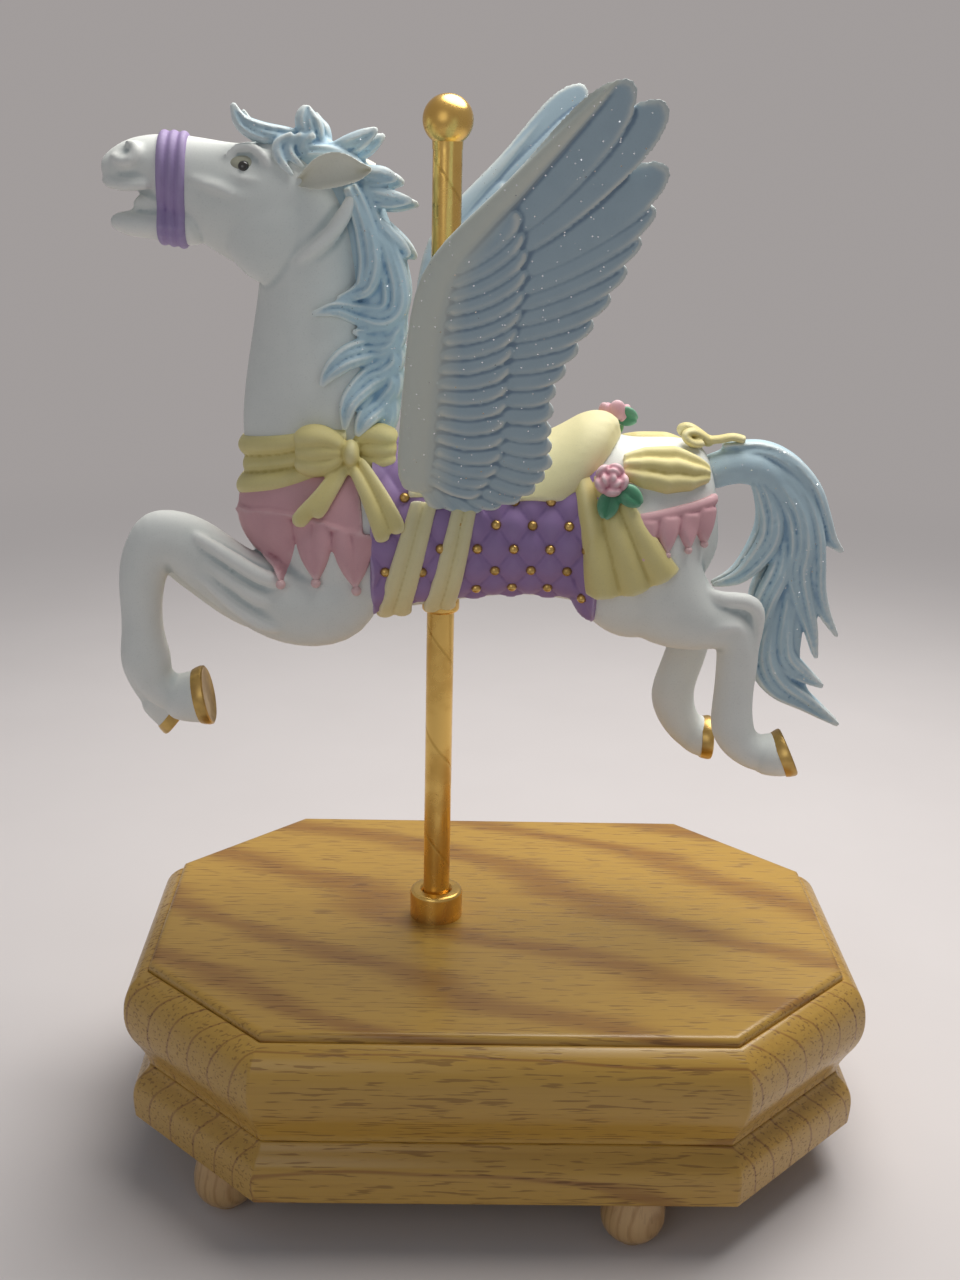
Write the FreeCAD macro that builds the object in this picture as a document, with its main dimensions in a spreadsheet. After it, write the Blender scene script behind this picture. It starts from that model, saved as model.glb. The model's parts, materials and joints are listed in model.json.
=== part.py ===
import FreeCAD, Part
import math
import os
import re

import Sketcher
from FreeCAD import Rotation, Vector

# Carousel music box: an oak base with a wind-up movement, and a winged horse that a face cam lifts.
# Millimetres, +Z up, origin in the middle of the base on the floor, the horse faces -X.
SIZES = [
    # oak base
    ("plate_length", 161.0),
    ("plate_depth", 110.0),
    ("corner_cut", 29.0),
    ("plate_thickness", 5.0),
    ("plate_rise", 2.0),
    ("case_height", 22.0),
    ("case_wall", 11.0),
    ("shoulder_overhang", 5.8),
    ("waist_overhang", 2.7),
    ("plinth_height", 16.0),
    ("lip_overhang", 5.6),
    ("sole_overhang", 4.2),
    ("cover_thickness", 3.0),
    ("cover_ledge", 5.0),
    ("cover_gap", 0.2),
    ("foot_height", 13.0),
    ("foot_diameter", 14.5),
    ("foot_flat", 6.4),
    ("tenon_diameter", 5.0),
    ("tenon_length", 6.0),
    ("front_foot_x", 31.0),
    ("corner_foot_inset", 4.0),
    ("corner_foot_shift", 5.5),
    ("front_foot_margin", 1.5),
    ("cover_screw_diameter", 2.4),
    ("cover_screw_length", 8.0),
    ("cover_screw_head", 4.4),
    ("cover_screw_span", 67.6),
    # brass pole and its fittings
    ("pole_offset", 14.5),
    ("pole_diameter", 6.35),
    ("finial_diameter", 10.8),
    ("finial_height", 239.4),
    ("finial_socket", 3.6),
    ("finial_neck_wall", 1.0),
    ("collar_diameter", 12.7),
    ("collar_height", 7.0),
    ("shank_diameter", 9.5),
    ("running_gap", 0.05),
    ("belly_ring_diameter", 11.5),
    ("belly_ring_height", 2.4),
    # movement
    ("standoff_height", 2.5),
    ("standoff_diameter", 6.0),
    ("standoff_margin", 1.0),
    ("bed_thickness", 2.5),
    ("bed_edge", 5.0),
    ("clear_gap", 0.3),
    ("arbor_diameter", 4.0),
    ("barrel_diameter", 30.0),
    ("barrel_height", 5.5),
    ("barrel_wall", 1.2),
    ("spring_thickness", 0.35),
    ("spring_turns", 6.0),
    ("spring_width", 3.6),
    ("gear_module", 1.0),
    ("crown_teeth", 39.0),
    ("pinion_teeth", 10.0),
    ("crown_thickness", 2.0),
    ("crown_face_width", 3.0),
    ("fine_module", 0.8),
    ("end_wheel_teeth", 20.0),
    ("governor_pinion_teeth", 9.0),
    ("fan_module", 0.6),
    ("governor_wheel_teeth", 24.0),
    ("fan_pinion_teeth", 9.0),
    ("wheel_thickness", 1.6),
    ("drum_diameter", 13.0),
    ("drum_length", 20.0),
    ("pin_height", 0.8),
    ("pin_diameter", 0.5),
    ("axle_diameter", 2.0),
    ("bracket_thickness", 1.5),
    ("bracket_width", 7.0),
    ("comb_thickness", 1.0),
    ("comb_depth", 17.0),
    ("comb_slot", 0.35),
    ("comb_slot_length", 9.0),
    ("comb_block_depth", 8.0),
    ("comb_screw_diameter", 2.0),
    ("comb_screw_head", 4.0),
    ("fan_radius", 6.0),
    ("fan_blade", 0.6),
    ("cam_lift", 10.0),
    ("cam_track", 4.0),
    ("cam_floor", 2.5),
    ("follower_diameter", 3.8),
    ("follower_reach", 2.5),
    ("follower_depth", 6.0),
    ("follower_gap", 0.15),
    ("arm_thickness", 1.6),
    ("arm_length", 11.5),
    ("arm_ring", 1.8),
    ("post_diameter", 2.0),
    ("post_depth", 2.0),
    ("key_hub_diameter", 8.0),
    ("key_hub_height", 7.0),
    ("key_span", 26.0),
    ("key_blade", 2.0),
    ("key_floor_gap", 3.0),
    # porcelain horse
    ("torso_height", 152.0),
    ("torso_length", 112.0),
    ("torso_depth", 42.0),
    ("torso_width", 35.0),
    ("chest_reach", 46.5),
    ("neck_length", 66.0),
    ("neck_depth", 34.0),
    ("neck_width", 23.0),
    ("head_length", 42.5),
    ("head_depth", 26.0),
    ("head_width", 16.4),
    ("jaw_opening", 3.0),
    ("ear_length", 16.0),
    ("ear_diameter", 7.5),
    ("mane_thickness", 17.0),
    ("tail_length", 64.0),
    ("tail_thickness", 22.0),
    ("foreleg_length", 100.0),
    ("hind_leg_length", 100.0),
    ("leg_thickness", 10.0),
    ("leg_track", 20.0),
    ("wing_length", 98.0),
    ("wing_chord", 49.5),
    ("wing_thickness", 4.0),
    ("wing_spread", 25.0),
    ("wing_root_gap", 31.0),
    ("wing_root_height", 160.0),
    ("wing_set_back", -9.2),
    # painted dress, moulded on the horse
    ("blanket_thickness", 1.3),
    ("blanket_front", -13.0),
    ("blanket_length", 47.0),
    ("saddle_length", 42.0),
    ("saddle_width", 26.0),
    ("cantle_height", 9.0),
    ("ribbon_thickness", 2.0),
    ("ribbon_width", 9.0),
    ("drape_thickness", 1.6),
    ("drape_length", 22.0),
    ("drape_drop", 38.0),
    ("band_thickness", 1.2),
    ("band_width", 7.0),
]

doc = FreeCAD.newDocument("CarouselMusicBox")
sheet = doc.addObject("Spreadsheet::Sheet", "Sizes")
for row, (alias, value) in enumerate(SIZES, start=1):
    sheet.set(f"A{row}", alias)
    sheet.set(f"B{row}", str(value))
    sheet.setAlias(f"B{row}", alias)
doc.recompute()

ALIASES = {alias for alias, value in SIZES}
NODES = []


def bound(formula):
    """The formula with each size's name spelled as a cell of the sheet."""
    return re.sub(r"[a-z_]+", lambda word: ("Sizes." if word[0] in ALIASES else "") + word[0], formula)


def mm(formula):
    """The formula's value in millimetres."""
    return float(sheet.evalExpression(formula))


def bind(thing, **formulas):
    for name, formula in formulas.items():
        thing.setExpression(name, bound(formula))
    return thing


def seat(thing, x="0", y="0", z="0"):
    """Binds a thing's place to the sheet."""
    thing.setExpression("Placement.Base.x", bound(x))
    thing.setExpression("Placement.Base.y", bound(y))
    thing.setExpression("Placement.Base.z", bound(z))
    return thing


def node(label, thing):
    """Names a finished sub-part."""
    thing.Label = label
    NODES.append(thing)
    return thing


ALONG_X = Rotation(Vector(0, 1, 0), 90)


def rod(name, diameter, length, x="0", y="0", z="0", turn=None):
    thing = doc.addObject("Part::Cylinder", name)
    if turn:
        thing.Placement.Rotation = turn
    bind(thing, Radius=f"({diameter}) / 2", Height=length)
    return seat(thing, x, y, z)


def block(name, length, width, height, x="0", y="0", z="0"):
    thing = doc.addObject("Part::Box", name)
    bind(thing, Length=length, Width=width, Height=height)
    return seat(thing, x, y, z)


def fuse(name, *things):
    thing = doc.addObject("Part::MultiFuse", name)
    thing.Shapes = list(things)
    thing.Refine = True
    return thing


def group(name, *things):
    """Like pieces kept as separate solids."""
    thing = doc.addObject("Part::Compound", name)
    thing.Links = list(things)
    return thing


def cut(name, base, *tools):
    """Takes each tool away from the base in turn."""
    for count, tool in enumerate(tools, start=1):
        thing = doc.addObject("Part::Cut", name if count == len(tools) else f"{name}_{count}")
        thing.Base = base
        thing.Tool = tool
        base = thing
    return base


def overlap(name, first, second):
    thing = doc.addObject("Part::Common", name)
    thing.Base = first
    thing.Tool = second
    return thing


def feature(name, shape):
    thing = doc.addObject("Part::Feature", name)
    thing.Shape = shape
    return thing


def draw(sketch, points):
    """Draws a closed outline. A point is (x, y) before a line, and (x, y, radius, side) before an arc
    whose centre lies on the left (side 1) or the right (side -1) of the way to the next point."""
    spots = [Vector(mm(point[0]), mm(point[1]), 0) for point in points]
    ends = []
    for index, point in enumerate(points):
        start = spots[index]
        stop = spots[(index + 1) % len(points)]
        if len(point) == 2:
            edge = sketch.addGeometry(Part.LineSegment(start, stop))
            ends.append((edge, 1, 2))
            continue
        radius, side = mm(point[2]), point[3]
        chord = stop - start
        left = Vector(-chord.y, chord.x, 0).normalize()
        centre = (start + stop) / 2 + left * side * math.sqrt(radius**2 - (chord.Length / 2) ** 2)
        first, last = (start, stop) if side == 1 else (stop, start)
        angles = [math.atan2(spot.y - centre.y, spot.x - centre.x) for spot in (first, last)]
        circle = Part.Circle(centre, Vector(0, 0, 1), radius)
        edge = sketch.addGeometry(Part.ArcOfCircle(circle, angles[0], angles[1]))
        ends.append((edge, 1, 2) if side == 1 else (edge, 2, 1))
    for index, point in enumerate(points):
        edge, start, stop = ends[index]
        after, after_start, after_stop = ends[(index + 1) % len(points)]
        sketch.addConstraint(Sketcher.Constraint("Coincident", edge, stop, after, after_start))
        for kind, formula, value in (("DistanceX", point[0], spots[index].x),
                                     ("DistanceY", point[1], spots[index].y)):
            rule = sketch.addConstraint(Sketcher.Constraint(kind, -1, 1, edge, start, value))
            sketch.setExpression(f"Constraints[{rule}]", bound(formula))
        if len(point) == 4:
            rule = sketch.addConstraint(Sketcher.Constraint("Radius", edge, mm(point[2])))
            sketch.setExpression(f"Constraints[{rule}]", bound(point[2]))


def body_sketch(body, role, points):
    sketch = body.newObject("Sketcher::SketchObject", body.Name + "_outline")
    plane = [item for item in body.Origin.OriginFeatures if item.Role == role][0]
    sketch.AttachmentSupport = [(plane, "")]
    sketch.MapMode = "FlatFace"
    draw(sketch, points)
    return sketch


def turned(name, points, x="0", y="0", z="0"):
    """A lathe-turned piece: an outline (radius, height) spun about its own Z axis."""
    body = doc.addObject("PartDesign::Body", name)
    sketch = body_sketch(body, "XZ_Plane", points)
    spin = body.newObject("PartDesign::Revolution", name + "_turning")
    spin.Profile = sketch
    spin.ReferenceAxis = (sketch, ["V_Axis"])
    spin.Angle = 360
    return seat(body, x, y, z)


def sawn(name, points, thickness, z="0"):
    """A flat piece sawn to an outline and laid at a height."""
    body = doc.addObject("PartDesign::Body", name)
    sketch = body_sketch(body, "XY_Plane", points)
    pad = body.newObject("PartDesign::Pad", name + "_board")
    pad.Profile = sketch
    bind(pad, Length=thickness)
    return seat(body, z=z)


# Levels of the base, from the floor up
COVER_TOP = "(foot_height + cover_thickness)"
CASE_FOOT = "(foot_height + plinth_height)"
CASE_TOP = f"({CASE_FOOT} + case_height)"
PLATE_TOP = f"({CASE_TOP} + plate_rise)"
PLATE_FOOT = f"({PLATE_TOP} - plate_thickness)"
POLE_X = "(-pole_offset)"


def octagon(outset):
    """The base's lengthened octagon, moved outward all round from the edge of the top plate."""
    half_x = f"(plate_length / 2 + {outset})"
    half_y = f"(plate_depth / 2 + {outset})"
    cut_off = f"(corner_cut + {2 - math.sqrt(2)} * ({outset}))"
    right = f"{half_x} - {cut_off}"
    upper = f"{half_y} - {cut_off}"
    return [
        (right, f"-{half_y}"), (half_x, f"-({upper})"), (half_x, upper), (right, half_y),
        (f"-({right})", half_y), (f"-{half_x}", upper), (f"-{half_x}", f"-({upper})"),
        (f"-({right})", f"-{half_y}"),
    ]


# Oak top plate, with the hole for the brass collar and a blind hole for the guide post
POST_X = f"({POLE_X} - arm_length)"
board = sawn("plate_board", octagon("0"), "plate_thickness", PLATE_FOOT)
collar_hole = rod("collar_hole", "shank_diameter", "plate_thickness", POLE_X, "0", PLATE_FOOT)
post_hole = rod("post_hole", "post_diameter", "post_depth", POST_X, "0", PLATE_FOOT)
node("top_plate", cut("drilled_plate", board, collar_hole, post_hole))

# Oak mouldings, mitred at the eight corners. The profile runs outward (x) from the plate's edge.
rim = doc.addObject("Sketcher::SketchObject", "rim")
draw(rim, octagon("0"))


def moulding(name, points):
    profile = doc.addObject("Sketcher::SketchObject", name + "_profile")
    profile.Placement.Rotation = Rotation(Vector(0, -1, 0), Vector(0, 0, 1), Vector(-1, 0, 0))
    seat(profile, y="-plate_depth / 2")
    draw(profile, points)
    sweep = doc.addObject("Part::Sweep", name)
    sweep.Sections = [profile]
    sweep.Spine = (rim, [f"Edge{side}" for side in range(1, 9)])
    sweep.Solid = True
    sweep.Transition = "Right corner"
    return sweep


INSIDE = "-case_wall"
SHOULDER = f"({CASE_FOOT} + 0.72 * case_height)"
BELLY = f"({CASE_FOOT} + 0.47 * case_height)"
NECKING = f"({CASE_FOOT} + 0.1 * case_height)"
node("upper_case", moulding("shoulder_moulding", [
    (INSIDE, CASE_FOOT),
    ("waist_overhang", CASE_FOOT),
    ("waist_overhang", NECKING, "0.75 * case_height", -1),
    ("0.78 * shoulder_overhang", BELLY, "0.4 * case_height", 1),
    ("shoulder_overhang", SHOULDER, "0.29 * case_height", 1),
    ("0.14 * shoulder_overhang", CASE_TOP),
    ("0", CASE_TOP),
    ("0", PLATE_FOOT),
    (INSIDE, PLATE_FOOT),
]))

LEDGE = "(-case_wall + cover_ledge)"
lip_moulding = moulding("lip_moulding", [
    (LEDGE, "foot_height"),
    ("sole_overhang", "foot_height", "1.4 * plinth_height", 1),
    ("lip_overhang", "foot_height + 0.42 * plinth_height"),
    ("lip_overhang", "foot_height + 0.58 * plinth_height", "0.9 * plinth_height", -1),
    ("waist_overhang", CASE_FOOT),
    (INSIDE, CASE_FOOT),
    (INSIDE, COVER_TOP),
    (LEDGE, COVER_TOP),
])

# Turned feet: two show in front, the other two stand opposite them through the middle of the base
FRONT_Y = "(plate_depth / 2 - case_wall + cover_ledge + tenon_diameter / 2 + front_foot_margin)"
CORNER_SUM = f"(plate_length / 2 + plate_depth / 2 - corner_cut - {math.sqrt(2)} * corner_foot_inset / 2)"
CORNER_LEAN = "((plate_length - plate_depth) / 2 - corner_foot_shift)"
CORNER_X = f"(({CORNER_SUM} + {CORNER_LEAN}) / 2)"
CORNER_Y = f"(({CORNER_SUM} - {CORNER_LEAN}) / 2)"
FEET = {
    "corner_left_foot": (f"-{CORNER_X}", f"-{CORNER_Y}"),
    "front_foot": ("front_foot_x", f"-{FRONT_Y}"),
    "corner_right_foot": (CORNER_X, CORNER_Y),
    "rear_foot": ("-front_foot_x", FRONT_Y),
}
foot_holes = []
for label, (foot_x, foot_y) in FEET.items():
    foot = turned(label + "_turning", [
        ("0", "0"),
        ("foot_flat / 2", "0", "0.55 * foot_diameter", 1),
        ("foot_diameter / 2", "0.5 * foot_height"),
        ("foot_diameter / 2", "0.62 * foot_height"),
        ("0.43 * foot_diameter", "foot_height"),
        ("tenon_diameter / 2", "foot_height"),
        ("tenon_diameter / 2", "foot_height + tenon_length"),
        ("0", "foot_height + tenon_length"),
    ], foot_x, foot_y)
    node(label, foot)
    foot_holes.append(rod(label + "_hole", "tenon_diameter", "tenon_length", foot_x, foot_y, "foot_height"))

# Bottom cover, let into the plinth and held by four countersunk screws
SCREW_SPOTS = [(sx, sy) for sx in (-1, 1) for sy in (-1, 1)]
SCREW_X = "cover_screw_span / 2"
SCREW_Y = "(plate_depth / 2 - case_wall + cover_ledge / 2)"
SCREW_HEAD_DEPTH = "(cover_screw_head - cover_screw_diameter) / 2"
screws = []
for count, (side_x, side_y) in enumerate(SCREW_SPOTS):
    screw = turned(f"cover_screw_{count}", [
        ("0", "foot_height"),
        ("cover_screw_head / 2", "foot_height"),
        ("cover_screw_diameter / 2", f"foot_height + {SCREW_HEAD_DEPTH}"),
        ("cover_screw_diameter / 2", "foot_height + cover_screw_length"),
        ("0", "foot_height + cover_screw_length"),
    ], f"{side_x} * {SCREW_X}", f"{side_y} * {SCREW_Y}")
    screws.append(screw)
cover_screws = node("cover_screws", group("cover_screw_set", *screws))
node("lower_plinth", cut("drilled_plinth", lip_moulding, group("foot_hole_set", *foot_holes), cover_screws))

ARBOR_HOLE = "arbor_diameter + 2 * clear_gap"
COVER_EDGE = "(-case_wall + cover_ledge - cover_gap)"
board = sawn("cover_board", octagon(COVER_EDGE), "cover_thickness", "foot_height")
arbor_hole = rod("cover_arbor_hole", ARBOR_HOLE, "cover_thickness", z="foot_height")
node("bottom_cover", cut("drilled_cover", board, arbor_hole, cover_screws))

# Levels of the movement, from the bottom cover up
BED_FOOT = f"({COVER_TOP} + standoff_height)"
BED_TOP = f"({BED_FOOT} + bed_thickness)"
BARREL_FOOT = f"({BED_TOP} + clear_gap)"
CROWN_FOOT = f"({BARREL_FOOT} + barrel_height)"
CROWN_FACE = f"({CROWN_FOOT} + crown_thickness)"
CROWN_ROOT = "(0.9 * gear_module)"
CROWN_TIP = "(0.7 * gear_module)"
CROWN_RADIUS = "(gear_module * crown_teeth / 2)"
PINION_RADIUS = "(gear_module * pinion_teeth / 2)"
AXLE_Z = f"({CROWN_FACE} + {CROWN_ROOT} + {PINION_RADIUS})"
CAM_LOW = f"({CROWN_FACE} + cam_floor)"
CAM_MID = f"({CAM_LOW} + cam_lift / 2)"

# Places along the cylinder's axle, outward from the barrel
INNER_BRACKET_X = f"({CROWN_RADIUS} + crown_face_width / 2 + 2 * clear_gap)"
DRUM_X = f"({INNER_BRACKET_X} + bracket_thickness + 2 * clear_gap)"
END_WHEEL_X = f"({DRUM_X} + drum_length)"
OUTER_BRACKET_X = f"({END_WHEEL_X} + wheel_thickness + 2 * clear_gap)"
FAN_WHEEL_X = f"({OUTER_BRACKET_X} + bracket_thickness + 2 * clear_gap)"
AXLE_END_X = f"({FAN_WHEEL_X} + wheel_thickness)"
GOVERNOR_Y = "(fine_module * (end_wheel_teeth + governor_pinion_teeth) / 2 + 0.1 * fine_module)"
FAN_Y = f"({GOVERNOR_Y} + fan_module * (governor_wheel_teeth + fan_pinion_teeth) / 2 + 0.1 * fan_module)"
COMB_TIP_Y = "(-(drum_diameter / 2 + pin_height + clear_gap))"
COMB_BACK_Y = f"({COMB_TIP_Y} - comb_depth)"
COMB_FOOT = f"({AXLE_Z} - comb_thickness / 2)"

# Bedplate on four standoffs
BED_LEFT = "(barrel_diameter / 2 + bed_edge)"
BED_LENGTH = f"({BED_LEFT} + {AXLE_END_X} + bed_edge)"
BED_FRONT = f"({COMB_BACK_Y} - bed_edge)"
BED_DEPTH = f"({FAN_Y} + bracket_width / 2 + bed_edge - {BED_FRONT})"
blank = block("bed_blank", BED_LENGTH, BED_DEPTH, "bed_thickness", f"-{BED_LEFT}", BED_FRONT, BED_FOOT)
bed_bore = rod("bed_bore", "arbor_diameter + 2 * running_gap", "bed_thickness", z=BED_FOOT)
node("bedplate", cut("bored_bed", blank, bed_bore))
STANDOFF_INSET = "(standoff_diameter / 2 + standoff_margin)"
standoffs = []
for count, (along, back) in enumerate([(0, 0), (1, 0), (0, 1), (1, 1)]):
    spot_x = f"-{BED_LEFT} + {STANDOFF_INSET} + {along} * ({BED_LENGTH} - 2 * {STANDOFF_INSET})"
    spot_y = f"{BED_FRONT} + {STANDOFF_INSET} + {back} * ({BED_DEPTH} - 2 * {STANDOFF_INSET})"
    standoff = rod(f"standoff_{count}", "standoff_diameter", "standoff_height", spot_x, spot_y, COVER_TOP)
    standoffs.append(standoff)
node("bedplate_standoffs", group("standoff_set", *standoffs))

# Spring barrel, a drawn brass cup that turns on the winding arbor
ARBOR_BORE = "arbor_diameter / 2 + running_gap"
node("spring_barrel", turned("barrel_cup", [
    (ARBOR_BORE, "0"),
    ("barrel_diameter / 2", "0"),
    ("barrel_diameter / 2", "barrel_height"),
    ("barrel_diameter / 2 - barrel_wall", "barrel_height"),
    ("barrel_diameter / 2 - barrel_wall", "barrel_wall"),
    (ARBOR_BORE, "barrel_wall"),
], z=BARREL_FOOT))


def spiral(inner, outer, turns, steps_per_turn=8):
    steps = int(turns * steps_per_turn)
    points = []
    for step in range(steps + 1):
        angle = 2 * math.pi * step / steps_per_turn
        radius = inner + (outer - inner) * step / steps
        points.append(Vector(radius * math.cos(angle), radius * math.sin(angle), 0))
    curve = Part.BSplineCurve()
    curve.interpolate(points)
    return curve


# Mainspring, a flat strip wound from near the arbor out to the wall of the barrel
strip = mm("spring_thickness")
spring_inner = mm("arbor_diameter / 2 + 2 * clear_gap")
spring_outer = mm("barrel_diameter / 2 - barrel_wall - spring_thickness")
inner_side = spiral(spring_inner, spring_outer, mm("spring_turns"))
outer_side = spiral(spring_inner + strip, spring_outer + strip, mm("spring_turns"))
spring_face = Part.Face(Part.Wire([
    inner_side.toShape(),
    Part.makeLine(inner_side.EndPoint, outer_side.EndPoint),
    outer_side.toShape(),
    Part.makeLine(outer_side.StartPoint, inner_side.StartPoint),
]))
mainspring = feature("spring_strip", spring_face.extrude(Vector(0, 0, mm("spring_width"))))
node("mainspring", mainspring)
seat(mainspring, z=f"{BARREL_FOOT} + barrel_wall")


# Tooth shares of the module (depth below and above the pitch line) and of the pitch (half widths)
TOOTH_ROOT, TOOTH_TIP = 1.0, 0.7
ROOT_HALF, TIP_HALF = 0.26, 0.09


def toothed(teeth, tooth_module, width, bore, first_angle=0.0):
    """A spur wheel about Z with slim straight-sided teeth, one of them at the first angle."""
    pitch = math.pi * tooth_module
    radius = tooth_module * teeth / 2
    root, tip = radius - TOOTH_ROOT * tooth_module, radius + TOOTH_TIP * tooth_module
    root_half, tip_half = ROOT_HALF * pitch / radius, TIP_HALF * pitch / radius
    points = []
    for tooth in range(int(teeth)):
        middle = first_angle + 2 * math.pi * tooth / int(teeth)
        for reach, turn in ((root, -root_half), (tip, -tip_half), (tip, tip_half), (root, root_half)):
            points.append(Vector(reach * math.cos(middle + turn), reach * math.sin(middle + turn), 0))
    disc = Part.Face(Part.makePolygon(points + points[:1])).extrude(Vector(0, 0, width))
    return disc.cut(Part.makeCylinder(bore / 2, width)) if bore else disc


# Crown wheel, the barrel's lid, with radial teeth that stand up round its rim
crown_radius = mm(CROWN_RADIUS)
crown_width = mm("crown_face_width")
crown_teeth = int(mm("crown_teeth"))
tooth_height = mm(f"{CROWN_ROOT} + {CROWN_TIP}")
crown_pitch = math.pi * mm("gear_module")
crown_start = crown_radius - crown_width / 2
crown_root_half, crown_tip_half = 0.19 * crown_pitch, 0.07 * crown_pitch
crown_disc = Part.makeCylinder(crown_radius + crown_width / 2, mm("crown_thickness"))
crown_disc = crown_disc.cut(Part.makeCylinder(mm(ARBOR_BORE), mm("crown_thickness")))
crown_tooth = Part.Face(Part.makePolygon([
    Vector(crown_start, -crown_root_half, 0),
    Vector(crown_start, crown_root_half, 0),
    Vector(crown_start, crown_tip_half, tooth_height),
    Vector(crown_start, -crown_tip_half, tooth_height),
    Vector(crown_start, -crown_root_half, 0),
])).extrude(Vector(0.9 * crown_width, 0, 0))
crown_tooth.translate(Vector(0, 0, mm("crown_thickness")))
ring_of_teeth = []
for tooth in range(crown_teeth):
    copy = crown_tooth.copy()
    copy.rotate(Vector(0, 0, 0), Vector(0, 0, 1), 360 * (tooth + 0.5) / crown_teeth)
    ring_of_teeth.append(copy)
crown_wheel = node("crown_wheel", feature("crown_disc", crown_disc.multiFuse(ring_of_teeth)))
seat(crown_wheel, z=CROWN_FOOT)


def ramp(inner, outer, foot, low, high, start_angle):
    """Half a ring whose top climbs evenly through half a turn from low to high."""
    steps = 8

    def climb(radius, first, last):
        points = []
        for step in range(steps + 1):
            angle = start_angle + math.pi * step / steps
            height = first + (last - first) * step / steps
            points.append(Vector(radius * math.cos(angle), radius * math.sin(angle), height))
        curve = Part.BSplineCurve()
        curve.interpolate(points)
        return curve.toShape()

    bottom_in, bottom_out = climb(inner, foot, foot), climb(outer, foot, foot)
    top_in, top_out = climb(inner, low, high), climb(outer, low, high)
    faces = [Part.makeRuledSurface(*pair) for pair in
             ((bottom_in, bottom_out), (top_in, top_out), (bottom_in, top_in), (bottom_out, top_out))]
    for end in (0, 1):
        corners = [edge.Vertexes[end].Point for edge in (bottom_in, bottom_out, top_out, top_in)]
        faces.append(Part.Face(Part.makePolygon(corners + corners[:1])))
    shell = Part.makeShell(faces)
    shell.sewShape()
    solid = Part.makeSolid(shell)
    solid.fix(0.001, 0.001, 0.001)
    return solid if solid.Volume > 0 else solid.reversed()


# Face cam on the crown wheel: it lifts the pole through one half turn and lets it down through the other
cam_inner = mm("pole_offset - cam_track / 2")
cam_outer = mm("pole_offset + cam_track / 2")
cam_low, cam_high = mm("cam_floor"), mm("cam_floor + cam_lift")
up_ramp = ramp(cam_inner, cam_outer, 0, cam_low, cam_high, math.pi / 2)
down_ramp = ramp(cam_inner, cam_outer, 0, cam_high, cam_low, 3 * math.pi / 2)
cam_web = Part.makeCylinder(cam_inner + mm("cam_track") / 4, 0.8 * cam_low)
cam_web = cam_web.cut(Part.makeCylinder(mm(ARBOR_BORE), 0.8 * cam_low))
lift_cam = node("lift_cam", feature("cam_ring", cam_web.multiFuse([up_ramp, down_ramp])))
seat(lift_cam, z=CROWN_FACE)

# Winding arbor and its butterfly key, under the base
KEY_FOOT = "key_floor_gap"
ARBOR_FOOT = f"({KEY_FOOT} + key_hub_height / 3)"
arbor = rod("arbor_rod", "arbor_diameter", f"{CAM_LOW} - {ARBOR_FOOT}", z=ARBOR_FOOT)
node("winding_arbor", arbor)
hub = rod("key_hub", "key_hub_diameter", "key_hub_height", z=KEY_FOOT)
LOBE = "0.9 * key_hub_height"
STEM = f"(key_span - {LOBE})"
stem = block("key_stem", STEM, "key_blade", "0.5 * key_hub_height", f"-{STEM} / 2", "-key_blade / 2",
             f"{KEY_FOOT} + 0.2 * key_hub_height")
lobes = []
eyes = []
ALONG_Y = Rotation(Vector(1, 0, 0), -90)
for side in (-1, 1):
    spot = (f"{side} * {STEM} / 2", "-key_blade / 2", f"{KEY_FOOT} + {LOBE} / 2")
    lobes.append(rod(f"key_lobe_{side + 1}", LOBE, "key_blade", *spot, turn=ALONG_Y))
    eyes.append(rod(f"key_eye_{side + 1}", f"0.45 * {LOBE}", "key_blade", *spot, turn=ALONG_Y))
blank = fuse("key_blank", hub, stem, *lobes)
node("winding_key", cut("key_bored", blank, arbor, *eyes))

# Pinned cylinder with its axle, pinion and end wheel. All turn about the same line along X.
axle = rod("cylinder_rod", "axle_diameter", f"{AXLE_END_X} - {CROWN_RADIUS} + crown_face_width / 2",
           f"{CROWN_RADIUS} - crown_face_width / 2", "0", AXLE_Z, ALONG_X)
node("cylinder_axle", axle)
DOWNWARD = Rotation(Vector(0, 0, -1), Vector(0, 1, 0), Vector(1, 0, 0))


def on_axle(label, shape, x, y):
    wheel = feature(label + "_blank", shape)
    wheel.Placement.Rotation = DOWNWARD
    return node(label, seat(wheel, x, y, AXLE_Z))


pinion_width = mm("0.8 * crown_face_width")
on_axle("cylinder_pinion",
        toothed(mm("pinion_teeth"), mm("gear_module"), pinion_width, mm("axle_diameter")),
        f"{CROWN_RADIUS} - 0.4 * crown_face_width", "0")
drum = Part.makeCylinder(mm("drum_diameter / 2"), mm("drum_length"))
pins = []
NOTES = 18
PINS_PER_NOTE = 3
NOTE_STEP = 5
for note in range(NOTES):
    for pin in range(PINS_PER_NOTE):
        height = mm("drum_length") * (note + 1) / (NOTES + 1)
        angle = 2 * math.pi * (pin / PINS_PER_NOTE + note * NOTE_STEP / NOTES)
        outward = Vector(math.cos(angle), math.sin(angle), 0)
        root = outward * mm("drum_diameter / 2 - pin_height") + Vector(0, 0, height)
        pins.append(Part.makeCylinder(mm("pin_diameter / 2"), 2 * mm("pin_height"), root, outward))
drum = drum.multiFuse(pins).cut(Part.makeCylinder(mm("axle_diameter / 2"), mm("drum_length")))
on_axle("music_cylinder", drum, DRUM_X, "0")
QUARTER = math.pi / 2
on_axle("end_wheel",
        toothed(mm("end_wheel_teeth"), mm("fine_module"), mm("wheel_thickness"), mm("axle_diameter"),
                QUARTER),
        END_WHEEL_X, "0")

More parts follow.
